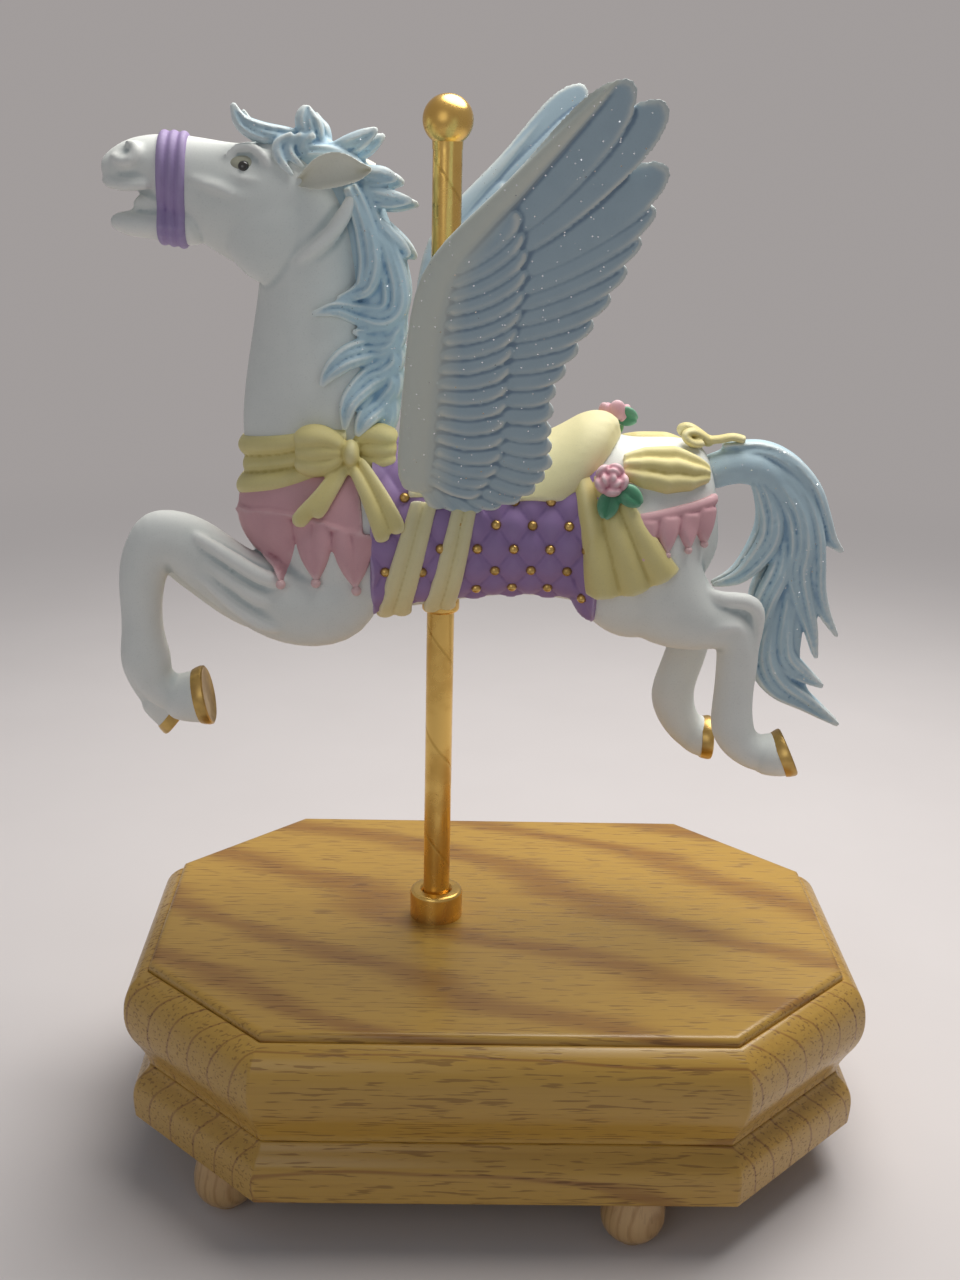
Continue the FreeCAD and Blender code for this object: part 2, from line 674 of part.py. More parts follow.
# Governor: a wheel and pinion on one axle, then a fan whose blades beat the air
governor_axle_length = f"{AXLE_END_X} - {END_WHEEL_X} + 2 * clear_gap"
governor_axle = rod("governor_rod", "axle_diameter", governor_axle_length,
                    f"{END_WHEEL_X} - 2 * clear_gap", GOVERNOR_Y, AXLE_Z, ALONG_X)
node("governor_axle", governor_axle)
pinion_step = math.pi / int(mm("governor_pinion_teeth"))
on_axle("governor_pinion",
        toothed(mm("governor_pinion_teeth"), mm("fine_module"), mm("wheel_thickness"), mm("axle_diameter"),
                -QUARTER + pinion_step),
        END_WHEEL_X, GOVERNOR_Y)
on_axle("governor_wheel",
        toothed(mm("governor_wheel_teeth"), mm("fan_module"), mm("wheel_thickness"), mm("axle_diameter"),
                QUARTER),
        FAN_WHEEL_X, GOVERNOR_Y)
FAN_X = f"({DRUM_X} + bracket_thickness + 2 * clear_gap)"
FAN_LENGTH = f"({END_WHEEL_X} - {FAN_X} - 4 * clear_gap)"
fan_axle = rod("fan_rod", "axle_diameter", f"{AXLE_END_X} - {DRUM_X}", DRUM_X, FAN_Y, AXLE_Z, ALONG_X)
node("fan_axle", fan_axle)
fan_step = math.pi / int(mm("fan_pinion_teeth"))
on_axle("fan_pinion",
        toothed(mm("fan_pinion_teeth"), mm("fan_module"), mm("wheel_thickness"), mm("axle_diameter"),
                -QUARTER + fan_step),
        FAN_WHEEL_X, FAN_Y)
blades = block("fan_blades", FAN_LENGTH, "2 * fan_radius", "fan_blade", FAN_X,
               f"{FAN_Y} - fan_radius", f"{AXLE_Z} - fan_blade / 2")
sleeve = rod("fan_sleeve", "2 * axle_diameter", FAN_LENGTH, FAN_X, FAN_Y, AXLE_Z, ALONG_X)
node("governor_fan", cut("fan_bored", fuse("fan_blank", blades, sleeve), fan_axle))

# Brackets that stand on the bedplate and carry the axles
BRACKET_HEIGHT = f"({AXLE_Z} - {BED_TOP} + bracket_width / 2)"
AXLE_BORE = "axle_diameter + 2 * running_gap"


def bracket(label, x, first_y, last_y, bores):
    plate = block(label + "_plate", "bracket_thickness", f"({last_y}) - ({first_y}) + bracket_width",
                  BRACKET_HEIGHT, x, f"{first_y} - bracket_width / 2", BED_TOP)
    holes = [rod(f"{label}_bore_{count}", AXLE_BORE, "bracket_thickness", x, y, AXLE_Z, ALONG_X)
             for count, y in enumerate(bores)]
    return node(label, cut(label + "_bored", plate, *holes))


bracket("inner_bracket", INNER_BRACKET_X, "0", "0", ["0"])
bracket("outer_bracket", OUTER_BRACKET_X, "0", FAN_Y, ["0", GOVERNOR_Y, FAN_Y])
bracket("fan_bracket", DRUM_X, FAN_Y, FAN_Y, [FAN_Y])

# Tuned comb, screwed to a block on the bedplate, with a slot between each two teeth
comb_blank = block("comb_blank", "drum_length", "comb_depth", "comb_thickness",
                   DRUM_X, COMB_BACK_Y, COMB_FOOT)
slots = []
for slot in range(1, NOTES):
    slot_x = f"{DRUM_X} + drum_length * {slot} / {NOTES} - comb_slot / 2"
    slots.append(block(f"comb_slot_{slot}", "comb_slot", "comb_slot_length", "comb_thickness",
                       slot_x, f"{COMB_TIP_Y} - comb_slot_length", COMB_FOOT))
comb_block = block("comb_block_blank", "drum_length", "comb_block_depth", f"{COMB_FOOT} - {BED_TOP}",
                   DRUM_X, COMB_BACK_Y, BED_TOP)
comb_screws = []
for count, share in enumerate((0.25, 0.75)):
    comb_screws.append(turned(f"comb_screw_{count}", [
        ("0", "-2 * comb_screw_head"),
        ("comb_screw_diameter / 2", "-2 * comb_screw_head"),
        ("comb_screw_diameter / 2", "comb_thickness"),
        ("comb_screw_head / 2", "comb_thickness"),
        ("comb_screw_head / 2", "comb_thickness + 0.35 * comb_screw_head"),
        ("0", "comb_thickness + 0.35 * comb_screw_head"),
    ], f"{DRUM_X} + {share} * drum_length", f"{COMB_BACK_Y} + comb_block_depth / 2", COMB_FOOT))
screw_set = node("comb_screws", group("comb_screw_set", *comb_screws))
node("comb", cut("comb_cut", comb_blank, group("comb_slot_set", *slots), screw_set))
node("comb_block", cut("comb_block_cut", comb_block, screw_set))

# Brass collar in the top plate, the bush that the pole slides in
POLE_BORE = "pole_diameter / 2 + running_gap"
node("base_collar", turned("collar_turning", [
    (POLE_BORE, "-plate_thickness"),
    ("shank_diameter / 2", "-plate_thickness"),
    ("shank_diameter / 2", "0"),
    ("collar_diameter / 2", "0"),
    ("collar_diameter / 2", "0.8 * collar_height"),
    ("0.44 * collar_diameter", "collar_height"),
    (POLE_BORE, "collar_height"),
], POLE_X, "0", PLATE_TOP))

# Brass pole with the cam follower in its foot and the ball on its top
FOLLOWER_TIP = f"({CAM_MID} + follower_gap)"
POLE_FOOT = f"({FOLLOWER_TIP} + follower_reach)"
BALL_FOOT = "(finial_height - 0.45 * finial_diameter)"
POLE_TOP = f"({BALL_FOOT} + finial_socket)"
follower = turned("follower_turning", [
    ("0", "0", "follower_diameter / 2", 1),
    ("follower_diameter / 2", "follower_diameter / 2"),
    ("follower_diameter / 2", "follower_reach + follower_depth"),
    ("0", "follower_reach + follower_depth"),
], POLE_X, "0", FOLLOWER_TIP)
node("cam_follower", follower)
shaft = rod("pole_shaft", "pole_diameter", f"{POLE_TOP} - {POLE_FOOT}", POLE_X, "0", POLE_FOOT)
pole = node("pole", cut("pole_bored", shaft, follower))
ball = doc.addObject("Part::Sphere", "finial_ball")
bind(ball, Radius="finial_diameter / 2")
seat(ball, POLE_X, "0", "finial_height")
neck_ring = rod("finial_neck", "pole_diameter + 2 * finial_neck_wall", "0.25 * finial_diameter", POLE_X, "0",
                f"{BALL_FOOT} - 0.1 * finial_diameter")
node("ball_finial", cut("finial_bored", fuse("finial_blank", ball, neck_ring), pole))

# Steady arm on the pole's foot, and the guide post under the plate that keeps the horse from turning
ARM_FOOT = f"({POLE_FOOT} + 0.4 * arm_thickness)"
arm_ring = rod("arm_ring_blank", "pole_diameter + 2 * arm_ring", "arm_thickness", POLE_X, "0", ARM_FOOT)
arm_bar = block("arm_bar", "arm_length + post_diameter", "2.5 * post_diameter", "arm_thickness",
                f"{POST_X} - post_diameter", "-1.25 * post_diameter", ARM_FOOT)
arm_bore = rod("arm_bore", "post_diameter + 2 * running_gap", "arm_thickness", POST_X, "0", ARM_FOOT)
node("steady_arm", cut("arm_bored", fuse("arm_blank", arm_ring, arm_bar), pole, follower, arm_bore))
POST_FOOT = f"({ARM_FOOT} - cam_lift / 2 - arm_thickness)"
node("guide_post", rod("post_rod", "post_diameter", f"{PLATE_FOOT} + post_depth - {POST_FOOT}",
                       POST_X, "0", POST_FOOT))

# The horse is cast in porcelain. Each form is a loft through rounded rings, and each one that grows
# out of another is cut where they meet.
SIDEWAYS = Vector(0, 1, 0)
RING_POINTS = 8


def ring(centre, along, depth, width):
    """A rounded ring square to the way along: depth across it, width sideways."""
    upright = along.cross(SIDEWAYS).normalize()
    points = []
    for count in range(RING_POINTS):
        angle = 2 * math.pi * count / RING_POINTS
        points.append(centre + upright * (depth * math.cos(angle)) + SIDEWAYS * (width * math.sin(angle)))
    curve = Part.BSplineCurve()
    curve.interpolate(points, PeriodicFlag=True)
    return Part.Wire(curve.toShape())


def limb(centres, depths, widths):
    """A closed form through rings along a line of centres."""
    rings = []
    last = len(centres) - 1
    for index, centre in enumerate(centres):
        along = centres[min(index + 1, last)] - centres[max(index - 1, 0)]
        rings.append(ring(centre, along, depths[index], widths[index]))
    return Part.makeLoft(rings, True, True)


def shares(stations, column, size):
    return [station[column] * size for station in stations]


chest_x = mm(f"{POLE_X} - chest_reach")
torso_length, torso_depth, torso_width = mm("torso_length"), mm("torso_depth"), mm("torso_width")
torso_height = mm("torso_height")


def torso_point(along, rise, side=0.0):
    """A place in the torso: shares of its length from the chest and of its depth from the middle."""
    return Vector(chest_x + along * torso_length, side, torso_height + rise * torso_depth)


# Torso stations: along, rise of the middle, half depth, half width
TORSO = [
    (0.0, 0.20, 0.10, 0.12),
    (0.035, 0.18, 0.28, 0.29),
    (0.115, 0.10, 0.415, 0.415),
    (0.25, 0.0, 0.49, 0.485),
    (0.41, -0.02, 0.415, 0.47),
    (0.59, 0.0, 0.36, 0.43),
    (0.725, -0.01, 0.43, 0.46),
    (0.85, -0.02, 0.51, 0.50),
    (0.95, 0.05, 0.40, 0.40),
    (0.995, 0.12, 0.17, 0.18),
]


def torso_form(grown=0.0):
    """The torso, or the space that it and a layer of even thickness fill."""
    centres = [torso_point(station[0], station[1]) for station in TORSO]
    depths = [share + grown for share in shares(TORSO, 2, torso_depth)]
    widths = [share + grown for share in shares(TORSO, 3, torso_width)]
    return limb(centres, depths, widths)


pole_space = rod("pole_space", "pole_diameter", f"{POLE_TOP} - {POLE_FOOT}", POLE_X, "0", POLE_FOOT)
torso_cast = feature("torso_cast", torso_form())
node("horse_torso", cut("torso_bored", torso_cast, pole_space))

# Brass ring on the pole, under the belly
ring_blank = rod("belly_ring_blank", "belly_ring_diameter", "2 * belly_ring_height", POLE_X, "0",
                 "torso_height - 0.435 * torso_depth - belly_ring_height")
node("belly_ring", cut("belly_ring_cut", ring_blank, torso_cast, pole_space))

# Neck stations: along it, shift forward and back, half depth, half width
NECK = [
    (-0.08, 0.06, 0.45, 0.40),
    (0.20, 0.0, 0.50, 0.47),
    (0.42, -0.02, 0.43, 0.42),
    (0.63, 0.0, 0.36, 0.38),
    (0.80, -0.01, 0.325, 0.355),
    (0.94, -0.05, 0.26, 0.30),
    (1.02, -0.09, 0.13, 0.16),
]
neck_length, neck_depth, neck_width = mm("neck_length"), mm("neck_depth"), mm("neck_width")
neck_root = torso_point(0.16, 0.30)


def neck_point(along, shift, side=0.0):
    return neck_root + Vector(shift * neck_depth, side, along * neck_length)


def neck_form(grown=0.0):
    centres = [neck_point(station[0], station[1]) for station in NECK]
    depths = [share + grown for share in shares(NECK, 2, neck_depth)]
    widths = [share + grown for share in shares(NECK, 3, neck_width)]
    return limb(centres, depths, widths)


neck_cast = feature("neck_cast", neck_form())
node("horse_neck", cut("neck_cut", neck_cast, torso_cast))

# Head stations: forward from the poll, rise, half depth, half width
HEAD = [
    (-0.08, 0.0, 0.30, 0.36),
    (0.08, 0.0, 0.47, 0.47),
    (0.27, 0.0, 0.50, 0.50),
    (0.46, 0.055, 0.42, 0.43),
    (0.63, 0.115, 0.37, 0.38),
    (0.80, 0.25, 0.25, 0.355),
    (0.92, 0.275, 0.19, 0.31),
    (0.985, 0.25, 0.08, 0.14),
]
# Lower jaw stations, hinged open below the muzzle
JAW = [
    (0.42, -0.05, 0.10, 0.20),
    (0.60, -0.16, 0.15, 0.29),
    (0.76, -0.19, 0.13, 0.28),
    (0.88, -0.20, 0.10, 0.26),
    (0.955, -0.19, 0.045, 0.12),
]
head_length, head_depth, head_width = mm("head_length"), mm("head_depth"), mm("head_width")
poll = neck_point(0.88, -0.03)


def head_point(along, rise, side=0.0):
    return poll + Vector(-along * head_length, side, rise * head_depth)


def head_form(stations, drop=0.0, grown=0.0):
    centres = [head_point(station[0], station[1]) - Vector(0, 0, drop) for station in stations]
    depths = [share + grown for share in shares(stations, 2, head_depth)]
    widths = [share + grown for share in shares(stations, 3, head_width)]
    return limb(centres, depths, widths)


skull = feature("skull_cast", head_form(HEAD))
jaw = feature("jaw_cast", head_form(JAW, drop=mm("jaw_opening") / 2))
head_cast = fuse("head_cast", skull, jaw)
node("horse_head", cut("head_cut", head_cast, neck_cast))

# Ear stations, laid back from the poll: along, half depth, half width
EAR = [(-0.05, 0.7, 0.55), (0.25, 1.0, 0.7), (0.6, 0.85, 0.6), (0.97, 0.15, 0.15)]
ear_length, ear_radius = mm("ear_length"), mm("ear_diameter") / 2
ears = []
for side in (-1, 1):
    ear_root = head_point(0.02, 0.28, side * 0.36 * head_width)
    ear_tip = ear_root + Vector(ear_length, side * 0.25 * ear_length, 0.12 * ear_length)
    centres = [ear_root + (ear_tip - ear_root) * along for along, *rest in EAR]
    ear = limb(centres, shares(EAR, 1, ear_radius), shares(EAR, 2, ear_radius))
    ears.append(feature(f"ear_{side + 1}", ear))
node("ears", cut("ears_cut", group("ear_pair", *ears), neck_cast, head_cast))

# Mane stations along the crest of the neck: along it, shift, half depth, half width
MANE = [
    (1.06, -0.16, 0.18, 0.22),
    (1.07, 0.12, 0.30, 0.34),
    (0.97, 0.36, 0.42, 0.46),
    (0.78, 0.42, 0.42, 0.52),
    (0.56, 0.38, 0.44, 0.60),
    (0.34, 0.34, 0.44, 0.68),
    (0.16, 0.26, 0.34, 0.62),
    (0.05, 0.16, 0.18, 0.34),
]
mane_thickness = mm("mane_thickness")
mane = limb([neck_point(station[0], station[1]) for station in MANE],
            shares(MANE, 2, mane_thickness), shares(MANE, 3, mane_thickness))
mane_cast = feature("mane_cast", mane)

# Tail stations from the croup: back and down, half depth, half width
TAIL = [
    (-0.10, 0.0, 0.18, 0.18),
    (0.03, 0.02, 0.25, 0.24),
    (0.16, -0.02, 0.36, 0.30),
    (0.265, -0.17, 0.46, 0.36),
    (0.29, -0.355, 0.50, 0.38),
    (0.305, -0.575, 0.46, 0.36),
    (0.345, -0.78, 0.36, 0.30),
    (0.43, -0.905, 0.19, 0.18),
    (0.49, -0.965, 0.05, 0.05),
]
tail_length, tail_thickness = mm("tail_length"), mm("tail_thickness")
tail_root = torso_point(0.955, 0.30)
tail_points = [tail_root + Vector(back * tail_length, 0, rise * tail_length) for back, rise, *rest in TAIL]
tail_cast = feature("tail_cast", limb(tail_points, shares(TAIL, 2, tail_thickness),
                                      shares(TAIL, 3, tail_thickness)))

# Leg stations from the torso to the sole: back, up, half depth, half width
FORELEG = [
    (0.08, 0.07, 0.70, 0.60),
    (0.005, -0.055, 1.15, 0.78),
    (-0.075, -0.065, 1.12, 0.78),
    (-0.17, -0.06, 0.90, 0.68),
    (-0.255, 0.005, 0.73, 0.58),
    (-0.325, 0.06, 0.70, 0.56),
    (-0.39, 0.075, 0.66, 0.55),
    (-0.42, 0.015, 0.58, 0.50),
    (-0.43, -0.07, 0.52, 0.46),
    (-0.43, -0.15, 0.50, 0.45),
    (-0.42, -0.225, 0.60, 0.50),
    (-0.385, -0.275, 0.58, 0.48),
    (-0.34, -0.295, 0.62, 0.56),
    (-0.28, -0.29, 0.68, 0.62),
]
HIND_LEG = [
    (-0.015, 0.07, 1.25, 0.85),
    (-0.02, -0.05, 1.62, 0.88),
    (0.04, -0.15, 1.20, 0.80),
    (0.13, -0.185, 0.84, 0.66),
    (0.195, -0.19, 0.70, 0.56),
    (0.21, -0.25, 0.56, 0.50),
    (0.20, -0.33, 0.49, 0.45),
    (0.195, -0.41, 0.47, 0.44),
    (0.205, -0.47, 0.56, 0.52),
    (0.24, -0.50, 0.52, 0.50),
    (0.28, -0.51, 0.57, 0.54),
    (0.34, -0.525, 0.65, 0.60),
]
# The off-side legs hang a little lower, and the hind one is drawn further forward
FAR_FORELEG_SHIFT = Vector(0.01, 0, -0.06)
FAR_HIND_SHIFT = Vector(-0.14, 0, -0.05)
track = mm("leg_track / 2")
thickness = mm("leg_thickness")
LEGS = [
    ("left_foreleg", FORELEG, 0.20, -0.24, "foreleg_length", -1, Vector(0, 0, 0)),
    ("right_foreleg", FORELEG, 0.20, -0.24, "foreleg_length", 1, FAR_FORELEG_SHIFT),
    ("left_hind_leg", HIND_LEG, 0.84, -0.02, "hind_leg_length", -1, Vector(0, 0, 0)),
    ("right_hind_leg", HIND_LEG, 0.84, -0.02, "hind_leg_length", 1, FAR_HIND_SHIFT),
]
for label, stations, along, rise, length_size, side, shift in LEGS:
    length = mm(length_size)
    root = torso_point(along, rise, side * track)
    centres = []
    for count, (back, up, *rest) in enumerate(stations):
        lag = shift * (count / (len(stations) - 1))
        centres.append(root + (Vector(back, 0, up) + lag) * length)
    leg = limb(centres, shares(stations, 2, thickness), shares(stations, 3, thickness))
    node(label, cut(label + "_cut", feature(label + "_cast", leg), torso_cast))

# Saddle blanket: an even layer on the barrel of the horse
blanket_layer = feature("blanket_layer", torso_form(mm("blanket_thickness")))
BLANKET_X = f"({POLE_X} + blanket_front)"
blanket_zone = block("blanket_zone", "blanket_length", "2 * torso_width", "torso_depth",
                     BLANKET_X, "-torso_width", "torso_height - 0.36 * torso_depth")
forelegs = [item for item in NODES if item.Label in ("left_foreleg", "right_foreleg")]
hind_legs = [item for item in NODES if item.Label in ("left_hind_leg", "right_hind_leg")]
node("saddle_blanket", cut("blanket_cut", overlap("blanket_blank", blanket_layer, blanket_zone), torso_cast,
                           neck_cast, pole_space, *forelegs, *hind_legs))

# Saddle with its high cantle: along it, rise, half depth, half width
SADDLE = [
    (0.0, 0.05, 0.12, 0.20),
    (0.10, 0.08, 0.30, 0.34),
    (0.38, 0.10, 0.34, 0.40),
    (0.60, 0.28, 0.52, 0.46),
    (0.74, 0.60, 0.66, 0.48),
    (0.86, 0.62, 0.62, 0.46),
    (0.98, 0.45, 0.30, 0.26),
]
saddle_length, saddle_width, cantle = mm("saddle_length"), mm("saddle_width"), mm("cantle_height")
saddle_root = torso_point(0.47, 0.37)
saddle_points = [saddle_root + Vector(along * saddle_length, 0, rise * cantle)
                 for along, rise, *rest in SADDLE]
saddle_cast = feature("saddle_cast", limb(saddle_points, shares(SADDLE, 2, cantle),
                                          shares(SADDLE, 3, saddle_width)))
node("saddle", cut("saddle_cut", saddle_cast, blanket_layer))

# Drape over the croup: an even layer that hangs down both flanks
drape_layer = feature("drape_layer", torso_form(mm("drape_thickness")))
DRAPE_X = f"({BLANKET_X} + blanket_length)"
drape_zone = block("drape_zone", "drape_length", "2 * torso_width", "drape_drop",
                   DRAPE_X, "-torso_width", "torso_height + 0.6 * torso_depth - drape_drop")
node("rump_drape", cut("drape_cut", overlap("drape_blank", drape_layer, drape_zone), torso_cast, saddle_cast,
                       tail_cast, *hind_legs))
node("tail", cut("tail_cut", tail_cast, torso_cast, *hind_legs))

# Ribbon round the chest and the root of the neck
ribbon_layer = fuse("ribbon_layer", feature("ribbon_chest", torso_form(mm("ribbon_thickness"))),
                    feature("ribbon_neck", neck_form(mm("ribbon_thickness"))))
ribbon_zone = block("ribbon_zone", "chest_reach + 0.1 * torso_length + blanket_front", "2 * torso_width",
                    "ribbon_width", f"{POLE_X} - chest_reach - 0.1 * torso_length", "-torso_width",
                    "torso_height + 0.26 * torso_depth")
chest_ribbon = node("chest_ribbon", cut("ribbon_cut", overlap("ribbon_blank", ribbon_layer, ribbon_zone),
                                        torso_cast, neck_cast))
node("mane", cut("mane_cut", mane_cast, torso_cast, neck_cast, head_cast, chest_ribbon, *ears))

# Nose band on the muzzle
band_layer = fuse("band_layer", feature("band_skull", head_form(HEAD, grown=mm("band_thickness"))),
                  feature("band_jaw", head_form(JAW, mm("jaw_opening") / 2, mm("band_thickness"))))
band_zone = block("band_zone", "band_width", "2 * head_width", "2 * head_depth",
                  f"{poll.x - 0.72 * head_length}", "-head_width", f"{poll.z - head_depth}")
node("nose_band", cut("band_cut", overlap("band_blank", band_layer, band_zone), head_cast))

# Wings: flat plates with scalloped trailing edges, leaning outward from the horse's sides.
# The outline is in shares of the chord (back) and of the length (up).
LEADING_EDGE = [(0.065, 0.033), (0.004, 0.123), (0.008, 0.284), (0.024, 0.454), (0.075, 0.547),
                (0.227, 0.649), (0.426, 0.751), (0.572, 0.85), (0.73, 0.967), (0.82, 1.0)]
FEATHER_TIPS = [
    ((0.862, 0.972), (0.856, 0.929)), ((0.945, 0.925), (0.945, 0.843)), ((0.998, 0.80), (0.945, 0.726)),
    ((0.955, 0.66), (0.9, 0.598)), ((0.87, 0.52), (0.8, 0.46)), ((0.765, 0.4), (0.7, 0.355)),
    ((0.69, 0.3), (0.651, 0.256)), ((0.68, 0.18), (0.647, 0.102)),
]
LOWER_LOBE = [(0.647, 0.102), (0.562, 0.036), (0.42, -0.016), (0.221, -0.007), (0.065, 0.033)]
wing_chord, wing_length = mm("wing_chord"), mm("wing_length")


def wing_point(share):
    """A place on the wing's inner face."""
    return Vector(share[0] * wing_chord, -mm("wing_thickness") / 2, share[1] * wing_length)


def smooth_edge(outline):
    curve = Part.BSplineCurve()
    curve.interpolate([wing_point(share) for share in outline])
    return curve.toShape()


edges = [smooth_edge(LEADING_EDGE)]
notch = wing_point(LEADING_EDGE[-1])
for tip, next_notch in FEATHER_TIPS:
    edges.append(Part.Arc(notch, wing_point(tip), wing_point(next_notch)).toShape())
    notch = wing_point(next_notch)
edges.append(smooth_edge(LOWER_LOBE))
wing_plate = Part.Face(Part.Wire(edges)).extrude(Vector(0, mm("wing_thickness"), 0))
for label, side in (("left_wing", -1), ("right_wing", 1)):
    wing = feature(label + "_cast", wing_plate.copy())
    wing.Placement.Rotation = Rotation(Vector(1, 0, 0), -side * mm("wing_spread"))
    seat(wing, f"{POLE_X} + wing_set_back", f"{side} * wing_root_gap / 2", "wing_root_height")
    node(label, cut(label + "_cut", wing, blanket_layer))

doc.recompute()
failed = [thing.Name for thing in doc.Objects if {"Invalid", "Error"} & set(thing.State)]
unsound = [thing.Label for thing in NODES
           if thing.Shape.isNull() or not thing.Shape.isValid() or not thing.Shape.Solids]
if failed or unsound:
    raise RuntimeError(f"did not build: {failed}, no sound solid: {unsound}")

os.makedirs("parts", exist_ok=True)
for thing in NODES:
    thing.Shape.exportStep(f"parts/{thing.Label}.step")
    box = thing.Shape.BoundBox
    print(f"{thing.Label}: {len(thing.Shape.Solids)} solid(s), {thing.Shape.Volume:.1f} mm3, "
          f"x {box.XMin:.1f} {box.XMax:.1f} y {box.YMin:.1f} {box.YMax:.1f} z {box.ZMin:.1f} {box.ZMax:.1f}")
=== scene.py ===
import json
from math import cos, degrees, exp, pi, radians, sin, sqrt

import bmesh
import bpy
import numpy
from mathutils import Matrix, Vector
from mathutils.bvhtree import BVHTree


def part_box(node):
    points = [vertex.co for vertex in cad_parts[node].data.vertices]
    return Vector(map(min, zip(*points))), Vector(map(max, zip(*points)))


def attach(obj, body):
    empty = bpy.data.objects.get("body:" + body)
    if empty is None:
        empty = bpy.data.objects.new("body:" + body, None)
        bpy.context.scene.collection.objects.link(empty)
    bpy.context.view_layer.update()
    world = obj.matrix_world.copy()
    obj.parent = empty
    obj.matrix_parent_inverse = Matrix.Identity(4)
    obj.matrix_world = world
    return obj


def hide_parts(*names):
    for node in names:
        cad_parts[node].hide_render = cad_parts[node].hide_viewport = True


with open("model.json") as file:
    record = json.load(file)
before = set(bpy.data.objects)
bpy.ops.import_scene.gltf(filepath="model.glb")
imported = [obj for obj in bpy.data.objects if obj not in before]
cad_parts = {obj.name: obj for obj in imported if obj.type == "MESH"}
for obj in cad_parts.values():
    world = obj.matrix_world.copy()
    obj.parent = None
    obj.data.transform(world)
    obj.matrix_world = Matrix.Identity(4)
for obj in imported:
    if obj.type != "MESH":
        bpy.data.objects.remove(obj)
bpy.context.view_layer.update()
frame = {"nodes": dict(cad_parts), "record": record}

# Turned feet. Four plain hardwood bullets carry the base: turned on a lathe, pale and close-grained,
# pressed into the plinth by a tenon and finished with a thin satin lacquer.
MM = 0.001
WELD = 0.001
SHARP = radians(38)
FULL_TURN = 2 * pi
FOOT_SOLE, FOOT_TOP = 3.0, 13.0
FOOT_ROUND = (1.45, 6.4)


def span(node):
    """The lowest and the highest corner of a CAD node, in millimetres."""
    low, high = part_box(node)
    return Vector(low) / MM, Vector(high) / MM


def piece(name, bm, material, body, slot, *nodes):
    """Makes a mesh that was modelled in millimetres a piece of the object, in metres."""
    bmesh.ops.scale(bm, vec=(MM, MM, MM), verts=bm.verts)
    mesh = bpy.data.meshes.new(name)
    bm.to_mesh(mesh)
    bm.free()
    mesh.shade_smooth()
    mesh.set_sharp_from_angle(angle=SHARP)
    mesh.materials.append(material)
    made = bpy.data.objects.new(name, mesh)
    bpy.context.scene.collection.objects.link(made)
    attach(made, body)
    if nodes:
        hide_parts(*nodes)
    return made


def turned(name, outline, material, body, slot, node, centre, steps=48):
    """Turns an outline of (radius, height) pairs about an upright axis at a centre, as a piece."""
    work = bmesh.new()
    rim = [work.verts.new((radius, 0, height)) for radius, height in outline]
    edges = [work.edges.new(pair) for pair in zip(rim, rim[1:])]
    bmesh.ops.spin(work, geom=rim + edges, axis=(0, 0, 1), cent=(0, 0, 0), angle=FULL_TURN, steps=steps,
                   use_merge=True)
    bmesh.ops.remove_doubles(work, verts=work.verts, dist=WELD)
    bmesh.ops.translate(work, vec=centre, verts=work.verts)
    bmesh.ops.recalc_face_normals(work, faces=work.faces)
    return piece(name, work, material, body, slot, node)


def arc(centre, radius, first, last, steps=8):
    """Points of (radius, height) on a round, between two angles in degrees."""
    angles = [radians(first + (last - first) * step / steps) for step in range(steps + 1)]
    return [(centre[0] + radius * cos(angle), centre[1] + radius * sin(angle)) for angle in angles]


def feed(tree, node, inputs):
    """Gives a shader node its inputs: a plain value each, or the output that feeds it."""
    for key, value in inputs.items():
        socket = node.inputs[key]
        if isinstance(value, bpy.types.NodeSocket):
            tree.links.new(value, socket)
        else:
            socket.default_value = (*value, 1.0) if socket.type == "RGBA" else value


def put(tree, kind, inputs=None, **settings):
    """Adds a shader node."""
    made = tree.nodes.new("ShaderNode" + kind)
    for name, value in settings.items():
        setattr(made, name, value)
    feed(tree, made, inputs or {})
    return made


def maths(tree, operation, first, second=0.0, third=0.0):
    return put(tree, "Math", {0: first, 1: second, 2: third}, operation=operation).outputs[0]


def vectors(tree, operation, inputs):
    return put(tree, "VectorMath", inputs, operation=operation).outputs


def eased(tree, value, low, high):
    """0 below low, 1 above high and a soft step between them."""
    return put(tree, "MapRange", {"Value": value, "From Min": low, "From Max": high},
               interpolation_type="SMOOTHSTEP").outputs[0]


def mixed(tree, share, first, second):
    return put(tree, "Mix", {0: share, 6: first, 7: second}, data_type="RGBA").outputs[2]


def stretched(tree, vector, scale, turn=(0, 0, 0), shift=(0, 0, 0)):
    scale = scale if isinstance(scale, tuple) else (scale, scale, scale)
    return put(tree, "Mapping", {"Vector": vector, "Scale": scale, "Rotation": turn,
                                 "Location": shift}).outputs[0]


def noise(tree, vector, scale, detail=2.0):
    spot = stretched(tree, vector, scale)
    return put(tree, "TexNoise", {"Vector": spot, "Scale": 1.0, "Detail": detail}).outputs


def bumped(tree, height, strength, depth, invert=False):
    """A normal that a height raises by a depth in millimetres."""
    return put(tree, "Bump", {"Height": height, "Strength": strength, "Distance": depth * MM},
               invert=invert).outputs[0]


def effect(name, inputs, outputs):
    """Starts a node group: its tree, what goes into it, and the node that takes what it puts out."""
    tree = bpy.data.node_groups.new(name, "ShaderNodeTree")
    for way, eye_shade_lumps in (("INPUT", inputs), ("OUTPUT", outputs)):
        for label, kind in eye_shade_lumps.items():
            tree.interface.new_socket(label, in_out=way, socket_type="NodeSocket" + kind)
    return tree, tree.nodes.new("NodeGroupInput").outputs, tree.nodes.new("NodeGroupOutput")


